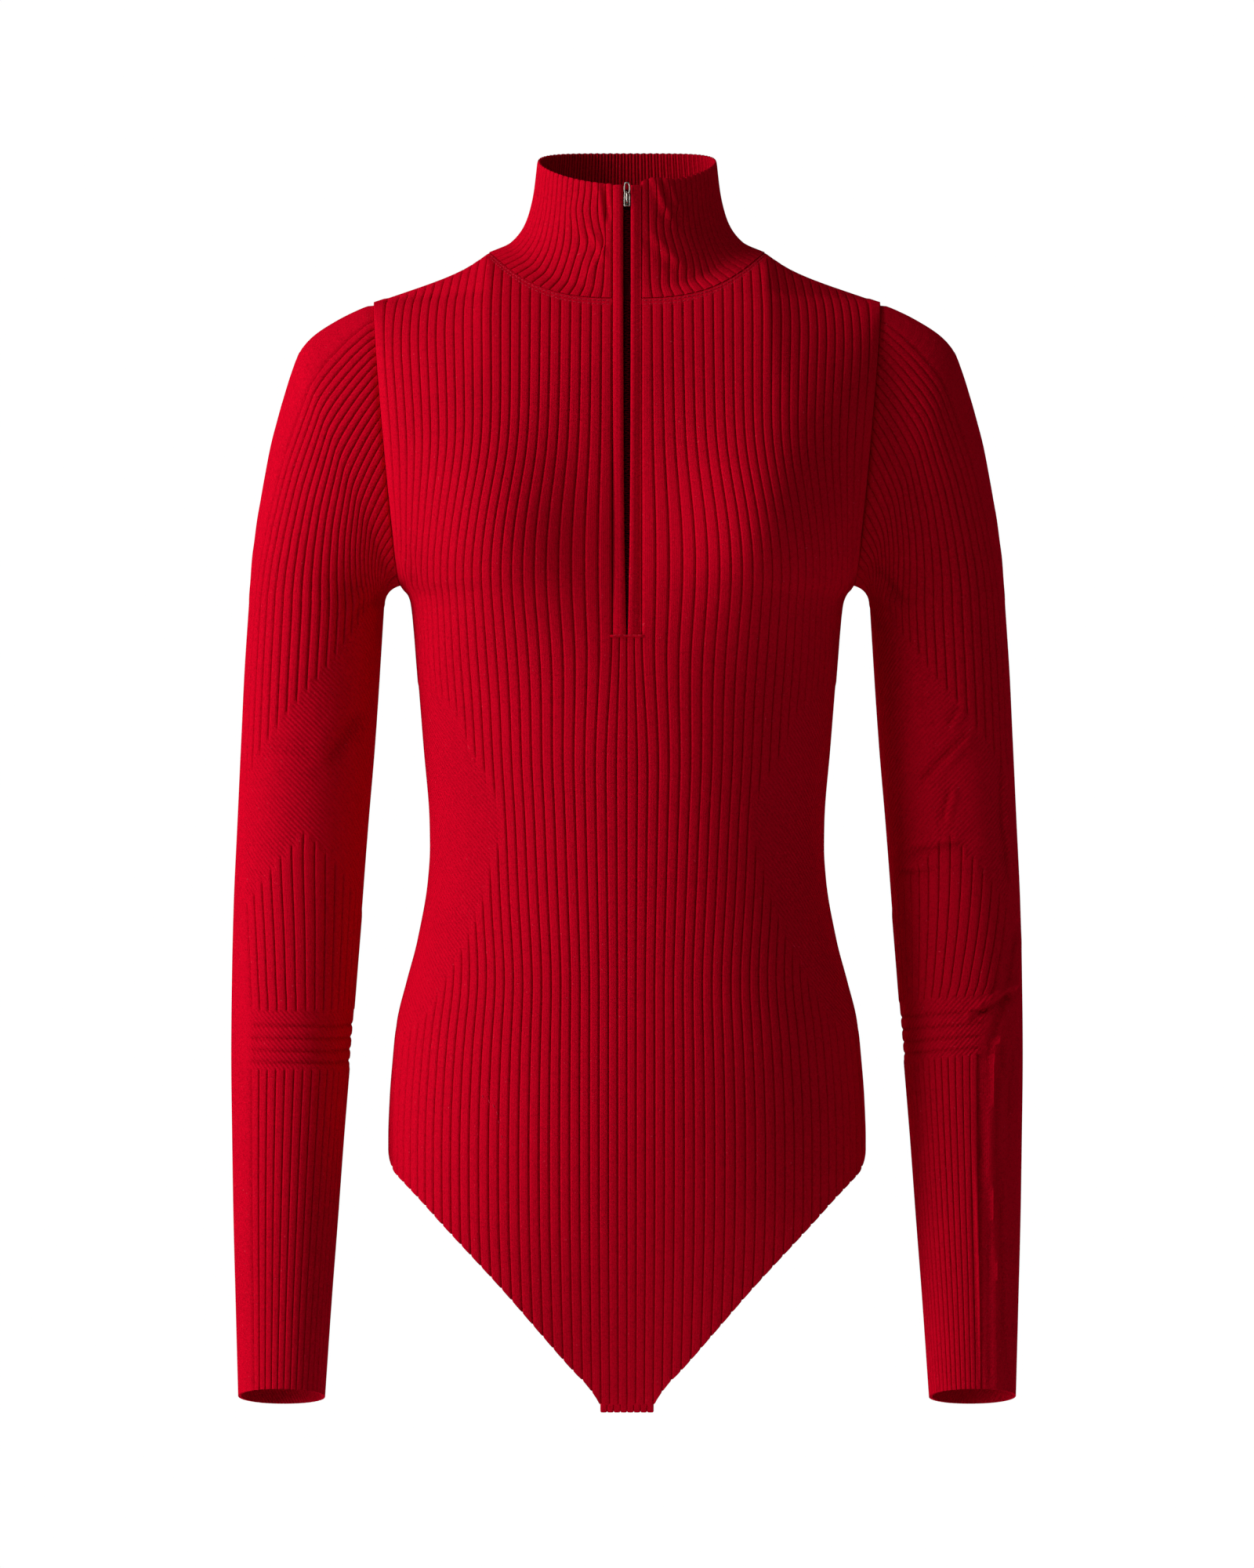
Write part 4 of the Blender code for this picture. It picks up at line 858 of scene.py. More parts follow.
def make_panel(name, face, slotted, creases):
    half = PANEL_COLUMNS
    phase = np.concatenate([-half[:0:-1], half])
    u = phase / PANEL_RIBS
    x, z = panel_grid(u, face)
    base = body_point(x, z, face)
    normals = body_normal(x, z, face)
    armpit = UPPER_ROWS
    slot_row = armpit + SLOT_ROWS
    shoulder = np.abs(x[0]) >= NECK_HALF_WIDTH - 1e-6
    normals[0, shoulder, 1] = 0
    normals[armpit:, [0, -1], 1] = 0
    normals = unit(normals)
    plain = waist_plain(x, z)
    ribs = rib_drop(phase)[None, :]
    fading = (1 - ease(0, SEAM_FADE, z[0] - z)) * shoulder
    fading = fading + 0.85 * (1 - ease(NECK_FADE - 2, NECK_FADE, z[0] - z)) * ~shoulder
    band = ease(PANEL_RIBS - 1, PANEL_RIBS - 0.75, np.abs(phase)) * ease(-4, 10, z - ARMPIT_Z)
    ribs = ribs + (SEAM_DROP - ribs) * fading
    ribs = ribs + (BAND_DROP - ribs) * band
    drop = ribs + (PLAIN_DROP - ribs) * plain - crease_rise(x, z, creases)
    outer = base - normals * drop[..., None]
    inner = base - normals * WALL
    for column, side in ((0, -1), (-1, 1)):
        hole = (slice(0, armpit + 1), column)
        inward = unit(armhole_centre(side) - base[hole])
        seam = base[hole] - armhole_normal(side) * HALF_GAP
        outer[hole] = seam + inward * drop[hole][:, None]
        inner[hole] = seam + inward * WALL
    for grid in (outer, inner):
        grid[..., 1] = face * np.maximum(face * grid[..., 1], HALF_GAP)
        grid[0, ~shoulder] += unit(grid[1, ~shoulder] - grid[0, ~shoulder]) * HALF_GAP
    wale = phase[None, :] * WALES_PER_RIB
    course = z / COURSE
    # Painted shade in the grooves, none on the plain panel, the flattened seam ribs and the armhole band
    shade = groove_shade(phase)[None, :] * (1 - plain) * (1 - fading) * (1 - band)
    wall = Wall()
    outside = wall.add(outer, wale, course, shade, plain)
    middle = len(half) - 1
    slot_columns = BRIDGE_RIBS * len(RIB_COLUMNS)
    left, right = middle - slot_columns, middle + slot_columns
    kept_columns = sorted(set(range(0, len(phase), INNER_COLUMN_STEP)) | {left, right, len(phase) - 1})
    kept_rows = sorted(set(range(2, len(z), INNER_ROW_STEP)) | {slot_row, len(z) - 1})
    picked = np.ix_(kept_rows, kept_columns)
    # Painted shade: the inner face is drawn darker all over
    inside = wall.add(inner[picked], (wale + 0 * z)[picked], course[picked], 0.3, plain[picked])
    rim = wall.add(inner[0], wale[0], course[0])
    foot = wall.add(inner[-1], wale[0], course[-1])
    columns = np.arange(len(phase))
    coarse = np.array(kept_columns)
    cut = kept_columns.index(left), kept_columns.index(right)
    slot_at = kept_rows.index(slot_row)
    halves = [(slice(0, left + 1), slice(0, cut[0] + 1)), (slice(right, None), slice(cut[1], None))]
    if not slotted:
        halves = [(slice(None), slice(None))]
    for fine, few in halves:
        wall.sheet(outside[:, fine])
        wall.sheet(inside[:, few])
        wall.sheet(np.stack([outside[0, fine], rim[fine]]))
        wall.strip(rim[fine], columns[fine], inside[0, few], coarse[few])
    if slotted:
        bridge = slice(left, right + 1)
        few = slice(cut[0], cut[1] + 1)
        wall.sheet(outside[slot_row:, bridge])
        wall.sheet(inside[slot_at:, few])
        wall.strip(outside[slot_row, bridge], columns[bridge], inside[slot_at, few], coarse[few])
        rows = np.array([-1, *kept_rows[: slot_at + 1]])
        for column, few_column in ((left, cut[0]), (right, cut[1])):
            edge = np.append(rim[column], inside[: slot_at + 1, few_column])
            wall.strip(outside[: slot_row + 1, column], np.arange(slot_row + 1), edge, rows)
    wall.sheet(np.stack([outside[-1], foot]))
    wall.strip(foot, columns, inside[-1], coarse)
    rows = np.array([-1, *kept_rows, len(z)])
    for column in (0, -1):
        edge = np.concatenate([[rim[column]], inside[:, column], [foot[column]]])
        wall.strip(outside[:, column], np.arange(len(z)), edge, rows)
    return wall.make(name, KNIT)


# Sleeves

HEAD_ROWS = 58
ARM_STEP = 2.2
BAND_STEP = 0.9
STRIP_COLUMNS = 16
STRIP_SEAM_RISE = 0.3
SLEEVE_INNER_ROW_STEP = 3
SLEEVE_INNER_COLUMN_STEP = 5


# Ribs of the sleeve head run down side by side from the armhole and bend level with the armpit. For
# each share of the ribs: how far down the armhole it starts, and the bend's place from the pivot
HEAD_RIBS = (
    (0.0, 0.07, 63.7, 128.1),
    (0.25, 0.265, 50.0, 86.0),
    (0.5, 0.50, 32.0, 52.0),
    (0.75, 0.79, 18.0, 26.0),
    (1.0, 1.0, 8.96, 8.96),
)


# How much wider the upper ribs are at the sleeve's outside than on average
ARM_RIB_SPREAD = 0.45


def spread_ribs(part):
    return part * (1 + ARM_RIB_SPREAD * (1 - part))


def gathered_ribs(place):
    whole = 1 + ARM_RIB_SPREAD
    return (whole - np.sqrt(whole**2 - 4 * ARM_RIB_SPREAD * np.clip(place, 0, 1))) / (2 * ARM_RIB_SPREAD)


def strip_share(station, strips):
    """Share of the half round that the plain outer strip takes. It narrows towards the shoulder point."""
    if station > 0:
        return float(head_shares(station, np.zeros(1))[0])
    return float(smooth(strips, 1, station))


def half_round(half_width, half_depth, roundness, shares):
    """Points of half a section from its outer to its inner side, at these shares of its length."""
    angle = np.linspace(0, math.pi, 361)
    across = np.sign(np.cos(angle)) * np.abs(np.cos(angle)) ** (2 / roundness) * half_width
    depth = np.abs(np.sin(angle)) ** (2 / roundness) * half_depth
    length = np.concatenate([[0], np.cumsum(np.hypot(np.diff(across), np.diff(depth)))])
    at = np.interp(shares, length / length[-1], angle)
    return np.interp(at, angle, across), np.interp(at, angle, depth)


def sleeve_section(station, shares):
    """One ring of the sleeve at +X: station is a head angle in degrees above 0, or else a height.

    The shares run from 0, outside, over the front to 1, inside, and on over the back to 2."""
    front = shares <= 1
    half_shares = np.where(front, shares, 2 - shares)
    if station > 0:
        outer_radius = float(smooth(SLEEVE_HEAD, 1, station))
        turned = (station - ARMHOLE_TILT) / (90 - ARMHOLE_TILT)
        half_width = (outer_radius - PIVOT_RADIUS) / 2
        radius = (outer_radius + PIVOT_RADIUS) / 2
        deepened = float(ease(0, HEAD_DEPTH_END, turned))
        half_depth = ARMHOLE_HALF_DEPTH + (ARM[0][4] - ARMHOLE_HALF_DEPTH) * deepened
        centre_y = ARM[0][3] * float(ease(0, 1, turned))
        roundness = ARMHOLE_ROUNDNESS + (ARM_ROUNDNESS - ARMHOLE_ROUNDNESS) * turned
        tilt = math.radians(station)
        centre = (PIVOT_X + radius * math.sin(tilt), PIVOT_Z + radius * math.cos(tilt))
        out = (math.sin(tilt), math.cos(tilt))
        slope = 0.0
    else:
        centre_x, half_width, centre_y, half_depth = (
            float(smooth(ARM, column, station)) for column in (1, 2, 3, 4)
        )
        roundness = ARM_ROUNDNESS
        centre = (centre_x, station)
        out = (1.0, 0.0)
        slope = CUFF_SLOPE * float(ease(CUFF_SLOPE_START, CUFF_Z, station))
    across, depth = half_round(half_width, half_depth, roundness, half_shares)
    depth = np.where(front, -depth, depth)
    x = centre[0] + out[0] * across
    z = centre[1] + out[1] * across - slope * depth
    return np.stack([x, centre_y + depth, z], axis=-1)


def head_radii(station):
    """Distances from the pivot along a head ring's front, at even shares of its half round."""
    outer_radius = float(smooth(SLEEVE_HEAD, 1, station))
    turned = (station - ARMHOLE_TILT) / (90 - ARMHOLE_TILT)
    deepened = float(ease(0, HEAD_DEPTH_END, turned))
    half_depth = ARMHOLE_HALF_DEPTH + (ARM[0][4] - ARMHOLE_HALF_DEPTH) * deepened
    roundness = ARMHOLE_ROUNDNESS + (ARM_ROUNDNESS - ARMHOLE_ROUNDNESS) * turned
    shares = np.linspace(0, 1, 400)
    across, depth = half_round((outer_radius - PIVOT_RADIUS) / 2, half_depth, roundness, shares)
    return shares, (outer_radius + PIVOT_RADIUS) / 2 + across


def head_shares(station, part):
    """Shares of the half round at which the sleeve head's ribs cross this ring."""
    level_strip = RIGHT_STRIP[0][1]
    shares, level = head_radii(90.0)
    outer, inner = smooth(SLEEVE_HEAD, 1, ARMHOLE_TILT), PIVOT_RADIUS
    tilt = math.radians(ARMHOLE_TILT)
    start = outer - (outer - inner) * smooth(HEAD_RIBS, 1, part)
    start = np.stack([start * math.sin(tilt), start * math.cos(tilt)])
    bend = np.stack([smooth(HEAD_RIBS, 2, part), smooth(HEAD_RIBS, 3, part)])
    end = np.interp(level_strip + (1 - level_strip) * spread_ribs(part), shares, level)
    end = np.stack([end, 0 * end])
    turn = math.radians(station)
    sides = [place[0] * math.cos(turn) - place[1] * math.sin(turn) for place in (start, bend, end)]
    square = sides[0] - 2 * sides[1] + sides[2]
    slope = 2 * (sides[1] - sides[0])
    root = np.sqrt(np.maximum(slope**2 - 4 * square * sides[0], 0))
    t = np.clip(-2 * sides[0] / (slope + root), 0, 1)
    place = (1 - t) ** 2 * start + 2 * t * (1 - t) * bend + t * t * end
    radius = np.hypot(place[0], place[1])
    shares, radii = head_radii(station)
    found = np.interp(-radius, -radii, shares)
    if part[-1] == 1:
        found = found + (1 - found[-1]) * part**8
    return np.minimum(np.maximum.accumulate(found), 1)


def sleeve_stations():
    """Rows of the sleeve: head angles, closer near the armhole, then heights, closer in the band."""
    turn = np.linspace(0, 1, HEAD_ROWS) ** 1.25
    head = ARMHOLE_TILT + (90 - ARMHOLE_TILT) * turn
    heights = []
    height = PIVOT_Z
    while height > CUFF_Z + ARM_STEP:
        in_band = BAND_BOTTOM - 4 < height < BAND_TOP + 16
        height -= BAND_STEP if in_band else ARM_STEP
        heights.append(height)
    heights[-1] = CUFF_Z
    return list(head) + heights


def sleeve_places(station, strips):
    """Shares of the columns of half a ring, and their places in upper and in lower ribs."""
    strip = strip_share(station, strips)
    upper = rib_columns(ARM_RIBS, ARM_RIB_COLUMNS)
    lower = rib_columns(FOREARM_RIBS, FOREARM_RIB_COLUMNS)
    mixed = float(ease(ELBOW_BOTTOM, ELBOW_TOP, min(station, 0.0)))
    place = spread_ribs(upper / ARM_RIBS) * mixed + lower / FOREARM_RIBS * (1 - mixed)
    plain = np.linspace(0, strip, STRIP_COLUMNS, endpoint=False)
    before = plain / max(strip, 1e-6) - 1
    if station > 0:
        return np.append(plain, head_shares(station, upper / ARM_RIBS)), np.append(before, upper / ARM_RIBS)
    return np.append(plain, strip + (1 - strip) * place), np.append(before, place)


def end_height(phase, ribs, strip, line):
    """Height at which the groove nearest to this place ends, so that the ribs end in steps."""
    nearest = np.round(phase) / ribs
    return line(strip + (1 - strip) * (spread_ribs(nearest) if ribs == ARM_RIBS else nearest))


def stop_line(share):
    return RIB_STOP_Z + RIB_STOP_RISE * share


def start_line(share):
    past_peak = share - RIB_START_PEAK
    return RIB_START_Z - np.where(past_peak < 0, -RIB_START_OUTER_FALL, RIB_START_INNER_FALL) * past_peak


def sleeve_relief(station, z, shares, part, band, strips):
    """Depth below the rib tops at each place of half a ring, with how much painted shade of the grooves and
    how much plain.
    """
    strip = strip_share(station, strips)
    in_strip = part < -1e-6
    upper = (part if station > 0 else gathered_ribs(part)) * ARM_RIBS
    lower = part * FOREARM_RIBS
    level = z - band[0] - band[1] * (0.5 - shares)
    if station > 0:
        above = np.ones_like(part)
    else:
        above = ease(-RIB_END_FADE, 0, z - end_height(upper, ARM_RIBS, strip, stop_line))
    below = ease(0, RIB_END_FADE, end_height(lower, FOREARM_RIBS, strip, start_line) - z)
    banded = ease(BAND_BOTTOM - 1.5, BAND_BOTTOM, level) * (1 - ease(BAND_TOP, BAND_TOP + 1.5, level))
    below = below * (1 - banded)
    if station > 0:
        below = np.zeros_like(part)
    ribbed = above * rib_drop(upper) + below * rib_drop(lower)
    groove = above * groove_shade(upper) + below * groove_shade(lower)
    plain = 1 - np.clip(above + below, 0, 1)
    drop = ribbed + PLAIN_DROP * plain
    lines = sum(bell(level, height, BAND_GROOVE_WIDTH) for height in BAND_GROOVES)
    lines = lines * (not station > 0)
    drop = drop + np.where(in_strip, 0, BAND_GROOVE_DEPTH * lines)
    # Painted shade in the band's grooves
    groove = groove + 0.8 * lines
    shown = 1 if station > 0 else float(ease(-430, -200, station))
    seam = STRIP_SEAM_RISE * bell(part, -0.45, 0.05) * shown
    drop = np.where(in_strip, PLAIN_DROP - seam, drop)
    groove = np.where(in_strip, 0, groove)
    plain = np.where(in_strip, 0.2, plain)
    return drop, groove, plain


def ring_normals(base):
    around = np.roll(base, -1, axis=1) - np.roll(base, 1, axis=1)
    down = np.gradient(base, axis=0)
    normals = unit(np.cross(down, around))
    centre = base.mean(axis=1, keepdims=True)
    facing = np.sign((normals * (base - centre)).sum(axis=-1, keepdims=True))
    return normals * np.where(facing == 0, 1, facing)


SLEEVE_EVENINGS = 36
# CREASE_SHADE: how dark the painted shade in the creases' valleys is
CREASE_SHADE = 1.1
ARM_WALES = 150.0
ARM_SEAM_WIDTH = 2.5
ARM_SEAM_DROP = 1.1


def make_sleeve(name, side, creases, band, strips):
    stations = sleeve_stations()
    base, drop, groove, plain, wale = [], [], [], [], []
    places = [sleeve_places(station, strips) for station in stations]
    evened = np.array([shares for shares, part in places])
    for _ in range(SLEEVE_EVENINGS):
        evened[1:-1] = (evened[:-2] + 2 * evened[1:-1] + evened[2:]) / 4
    for station, shares, (_, part) in zip(stations, evened, places):
        ring = np.concatenate([shares, 2 - shares[-2:0:-1]])
        points = sleeve_section(station, ring)
        half = len(shares)
        around = np.append(np.arange(half), np.arange(half - 2, 0, -1))
        behind = np.concatenate([[0], np.arange(len(points) - 1, half - 1, -1), [half - 1]])
        reliefs = [
            sleeve_relief(station, points[places, 2], shares, part, band, strips)
            for places in (np.arange(half), behind)
        ]
        both = [np.append(ahead, back[-2:0:-1]) for ahead, back in zip(*reliefs)]
        base.append(points)
        for collected, values in zip((drop, groove, plain, wale), (*both, shares[around] * ARM_WALES)):
            collected.append(values)
    base = np.array(base) * np.array([side, 1, 1])
    drop, groove, plain, wale = (np.array(values) for values in (drop, groove, plain, wale))
    facing = base[..., 1] < np.array([row[:, 1].mean() for row in base])[:, None]
    normals = ring_normals(base)
    rise = np.where(facing, crease_rise(base[..., 0], base[..., 2], creases), 0)
    rise = rise * ease(0.0, 0.5, -normals[..., 1])
    drop = drop - rise
    # Painted shade in the creases' valleys
    groove = groove + CREASE_SHADE * np.clip(-rise, 0, 1)
    length = run_length(base[:, 0])
    drop += ARM_SEAM_DROP * bell(length, 0, ARM_SEAM_WIDTH)[:, None]
    outer = base - normals * drop[..., None]
    inner = base - normals * WALL
    shift = armhole_normal(side) * HALF_GAP
    inward = unit(armhole_centre(side) - base[0])
    outer[0] = base[0] + inward * drop[0][:, None] + shift
    inner[0] = base[0] + inward * WALL + shift
    course = base[..., 2] / COURSE
    wall = Wall()
    outside = wall.add(outer, wale, course, groove, plain)
    columns = outer.shape[1]
    kept_columns = list(range(0, columns, SLEEVE_INNER_COLUMN_STEP))
    kept_rows = sorted(set(range(2, len(stations), SLEEVE_INNER_ROW_STEP)) | {len(stations) - 2})
    picked = np.ix_(kept_rows, kept_columns)
    # Painted shade: the inner face is drawn darker all over
    inside = wall.add(inner[picked], wale[picked], course[picked], 0.3, 0.5)
    rim = wall.add(inner[0], wale[0], course[0])
    foot = wall.add(inner[-1], wale[-1], course[-1])
    for numbers in (outside, inside):
        wall.sheet(numbers, closed=True)
    around = np.arange(columns + 1)
    coarse = np.append(kept_columns, columns)
    for edge, ring, few in ((outside[0], rim, inside[0]), (outside[-1], foot, inside[-1])):
        wall.sheet(np.stack([edge, ring]), closed=True)
        wall.strip(np.append(ring, ring[0]), around, np.append(few, few[0]), coarse)
    return wall.make(name, KNIT)


# Collar

COLLAR_ROWS = 40
COLLAR_THICKNESS = 1.9


def neck_edge(face):
    """Seam between a panel and the collar, from the middle to the collar's side."""
    x = np.linspace(0, NECK_HALF_WIDTH, 200)
    return body_point(x, neckline(x, face), face)


def neck_ring(angle):
    """Seam between collar and body: the angle runs from -90 degrees, front, to 90, back, at +X."""
    x = NECK_HALF_WIDTH * np.cos(angle)
    found = []
    for face in (FRONT, BACK):
        edge = neck_edge(face)
        y = np.interp(x, edge[:, 0], edge[:, 1])
        z = np.interp(x, edge[:, 0], edge[:, 2])
        found.append(np.stack([x, y, z], axis=-1))
    return np.where((angle < 0)[..., None], *found)


def collar_point(angle, share):
    """Share of height runs from 0 at the seam to 1 at the top edge."""
    seam = neck_ring(angle)
    centre_y, centre_z = COLLAR_TOP_CENTRE
    top_x = COLLAR_TOP_HALF_WIDTH * np.cos(angle)
    top_y = centre_y + COLLAR_TOP_HALF_DEPTH * np.sin(angle)
    top_z = centre_z + COLLAR_TOP_TILT * np.sin(angle) + COLLAR_SIDE_LIFT * np.cos(angle) ** 2
    flare = smooth(COLLAR_FLARE, 1, share)
    x = top_x + (seam[..., 0] - top_x) * flare
    y = top_y + (seam[..., 1] - top_y) * flare
    z = seam[..., 2] + (top_z - seam[..., 2]) * share
    return np.stack([x, y, z], axis=-1)


def collar_base(shares, phase):
    """Rows of the collar from the zip's right edge round the back to its left edge."""
    part = phase / (2 * COLLAR_RIBS)
    rows = []
    for height in shares:
        flare = float(smooth(COLLAR_FLARE, 1, height))
        half_width = COLLAR_TOP_HALF_WIDTH + (NECK_HALF_WIDTH - COLLAR_TOP_HALF_WIDTH) * flare
        first = -math.acos(SLOT_HALF_WIDTH / half_width)
        angle = first + (math.pi / 2 - first) * (1 - np.abs(1 - 2 * part))
        row = collar_point(angle, height)
        row[:, 0] *= np.where(part < 0.5, -1, 1)
        rows.append(row)
    return np.array(rows)


def grid_normals(points, toward):
    """Unit normals of a grid, on the side that the vectors in toward point to."""
    down = np.gradient(points, axis=0)
    across = np.gradient(points, axis=1)
    normals = unit(np.cross(down, across))
    facing = np.sign((normals * toward).sum(axis=-1, keepdims=True))
    return normals * np.where(facing == 0, 1, facing)


# Ribs pushed sideways beside the zip: middle across, middle height, spread across, spread up, push
COLLAR_PUSHES = (
    (-19.0, 0.0, 12.0, 9.0, 3.4),
    (-26.0, 20.0, 8.0, 7.0, -1.2),
    (30.0, -8.0, 17.0, 12.0, 3.2),
    (22.0, 22.0, 8.0, 8.0, 1.6),
)
# Folds beside the zip: from, to, width, rise
COLLAR_CREASES = (
    (14.4, 33.7, 26.2, 12.6, 2.2, 1.1),
    (21.8, 35.2, 33.6, 13.0, 2.0, 0.9),
    (12.9, 5.6, 32.1, -13.4, 2.6, 1.0),
    (20.0, -8.0, 44.0, -17.0, 2.2, 0.7),
    (-13.7, 34.3, -10.3, 12.5, 1.5, -1.2),
    (-21.0, 9.0, -12.2, -8.0, 2.2, 1.1),
    (-28.5, 14.5, -21.0, -3.2, 2.0, 0.6),
    (-17.0, -9.0, -24.0, -22.0, 2.0, 0.5),
)
COLLAR_DEEPEST = 1.2
COLLAR_HIGHEST = 1.4
RIGHT_TOP_LIFT = 3.2


def make_collar():
    phase = rib_columns(2 * COLLAR_RIBS, RIB_COLUMNS)
    shares = np.linspace(0, 1, COLLAR_ROWS)
    base = collar_base(shares, phase)
    front = base[..., 1] < 0
    from_zip = np.minimum(phase, 2 * COLLAR_RIBS - phase)
    free = np.minimum(1, shares * 6)[:, None] * ease(0.75, 2.0, from_zip)
    for across, up, spread, height, push in COLLAR_PUSHES:
        near = bell(base[..., 0], across, spread) * bell(base[..., 2], up, height)
        base[..., 0] += push * near * front * free
    puffed = crease_rise(base[..., 0], base[..., 2], COLLAR_CREASES) * front
    puffed = np.clip(puffed * np.minimum(1, shares * 8)[:, None], -COLLAR_DEEPEST, COLLAR_HIGHEST)
    normals = grid_normals(base, base * np.array([1, 1, 0]))
    turned = ease(0.955, 1.0, shares)[:, None]
    drop = rib_drop(phase)[None, :] * (1 - 0.4 * turned) + 0.45 * turned**2 - puffed
    outer = base - normals * drop[..., None]
    inner_drop = COLLAR_THICKNESS - 0.8 * rib_drop(2 * phase + 0.5)[None, :] - puffed
    inner = base - normals * (inner_drop - 0.3 * turned**2)[..., None]
    raised = RIGHT_TOP_LIFT * bell(base[-1:, :, 0], 15.0, 9.0) * (base[-1:, :, 1] < 0)
    scallop = 0.5 * (1 - np.abs(2 * (phase - np.floor(phase)) - 1) ** 2)[None, :]
    for grid in (outer, inner):
        grid[..., 2] += (raised + scallop) * ease(0.8, 1.0, shares)[:, None]
    for grid in (outer, inner):
        grid[0] += unit(grid[1] - grid[0]) * SEAM_GAP
    wall = Wall()
    wale = phase[None, :] * 5.0
    course = base[..., 2] / COURSE
    # Painted shade in the grooves outside, and twice as strong in the doubled ribs inside
    outside = wall.add(outer, wale, course, groove_shade(phase)[None, :])
    inside = wall.add(inner, wale, course, 2.0 * groove_shade(2 * phase + 0.5)[None, :])
    wall.shell(outside, inside)
    return wall.make("collar_knit", KNIT)


# Zip

WELT_ROWS = 90
WELT_SIDES = 16
WELT_SQUARENESS = 0.7
WELT_OUTER = 7.9
WELT_RISE = 1.0
WELT_DEPTH = 1.9
# Half of the gap between the welts: height, half width
ZIP_GAP = ((40.0, 2.1), (0.0, 2.1), (-100.0, 1.9), (-160.0, 1.5), (-200.0, 0.8), (-221.0, 0.3))
WELT_WAVE = 0.25
# How far the welts fall from the gap to their outer edges
WELT_FALL = {-1: 0.35, 1: 1.6}
COIL_PITCH = 1.25
COIL_HALF_WIDTH = 1.5
COIL_WIRE = 0.42
COIL_DEPTH = 3.0


def zip_path(rows):
    """Middle line of the zip from the collar's top edge down to the end of the slot."""
    collar = [collar_point(np.array(-math.pi / 2), share) for share in np.linspace(1.0, 0.04, 24)]
    heights = np.linspace(-NECK_FRONT_DROP, SLOT_BOTTOM + SEAM_GAP, rows)
    return np.array(collar + [body_point(0.0, float(z), FRONT) for z in heights])


def path_out(path):
    """Outward directions along a line that runs down the front."""
    down = unit(np.gradient(path, axis=0))
    return np.stack([np.zeros(len(path)), down[:, 2], -down[:, 1]], axis=1)


def make_welt(name, side):
    path = zip_path(WELT_ROWS)
    out = path_out(path)
    gap = smooth(ZIP_GAP, 1, path[:, 2])
    length = run_length(path)
    wave = WELT_WAVE * np.sin(length / 17.0 + side) + 0.1 * np.sin(length / 5.3)
    turn = 2 * math.pi * np.arange(WELT_SIDES) / WELT_SIDES
    bulge = np.sign(np.cos(turn)) * np.abs(np.cos(turn)) ** WELT_SQUARENESS
    rise = (WELT_RISE - WELT_DEPTH) / 2 + np.sin(turn) * (WELT_RISE + WELT_DEPTH) / 2
    rings = []
    for centre, up, inner, sway in zip(path, out, gap, wave):
        middle, half = (WELT_OUTER + inner) / 2, (WELT_OUTER - inner) / 2
        across = side * (middle + half * bulge)
        fall = WELT_FALL[side] * (0.5 + 0.5 * bulge) ** 1.4 * np.clip(np.sin(turn), 0, 1)
        lift = rise * (1 + 0.25 * sway) - fall
        rings.append(centre + ACROSS * across[:, None] + up * lift[:, None])
    rings = np.array(rings)
    wall = Wall()
    wale = np.broadcast_to(turn / (2 * math.pi) * 12, rings.shape[:-1])
    numbers = wall.add(rings, wale, rings[..., 2] / COURSE, 0.0, 0.15)
    wall.sheet(numbers, closed=True)
    wall.close_ends(numbers)
    return wall.make(name, KNIT)


def make_coil():
    """Row of coil turns, seen between the welts."""
    path = zip_path(WELT_ROWS)
    length = run_length(path)
    places = np.arange(14.0, length[-1] - 1.5, COIL_PITCH)
    out = path_out(path)
    centre = read_along(places, length, path)
    up = read_along(places, length, out)
    turn = 2 * math.pi * np.arange(6) / 6
    wall = Wall()
    for k, (middle, rise) in enumerate(zip(centre, up)):
        along = np.cross(rise, ACROSS)
        lean = 0.3 if k % 2 else -0.3
        rings = []
        for across, size in ((-1.0, 0.2), (-0.85, 0.9), (0.0, 1.0), (0.85, 0.9), (1.0, 0.2)):
            spot = middle + ACROSS * across * COIL_HALF_WIDTH + along * lean * across - rise * COIL_DEPTH
            spin = np.cos(turn)[:, None] * along + np.sin(turn)[:, None] * rise
            rings.append(spot + spin * COIL_WIRE * size)
        numbers = wall.add(rings)
        wall.sheet(numbers, closed=True)
        wall.close_ends(numbers)
    return wall.make("zip_coil", COIL)


# Slider and ring

SLIDER_Z = 20.4
SLIDER_LENGTH = 8.2
SLIDER_HALF_WIDTH = 1.75
SLIDER_TOP = 0.5
PULL_AXIS_ALONG = 6.9
PULL_AXIS_RISE = 1.75
PULL_WIRE = 0.4
CROWN_WIRE = 0.45
PULL_LENGTH = 6.8
PULL_HALF_WIDTH = 1.45


def slider_frame():
    path = zip_path(WELT_ROWS)[::-1]
    at = np.array([0, float(np.interp(SLIDER_Z, path[:, 2], path[:, 1])), SLIDER_Z])
    above = SLIDER_Z + SLIDER_LENGTH
    end = np.array([0, float(np.interp(above, path[:, 2], path[:, 1])), above])
    along = unit(end - at)
    return at, along, np.array([0, -along[2], along[1]])


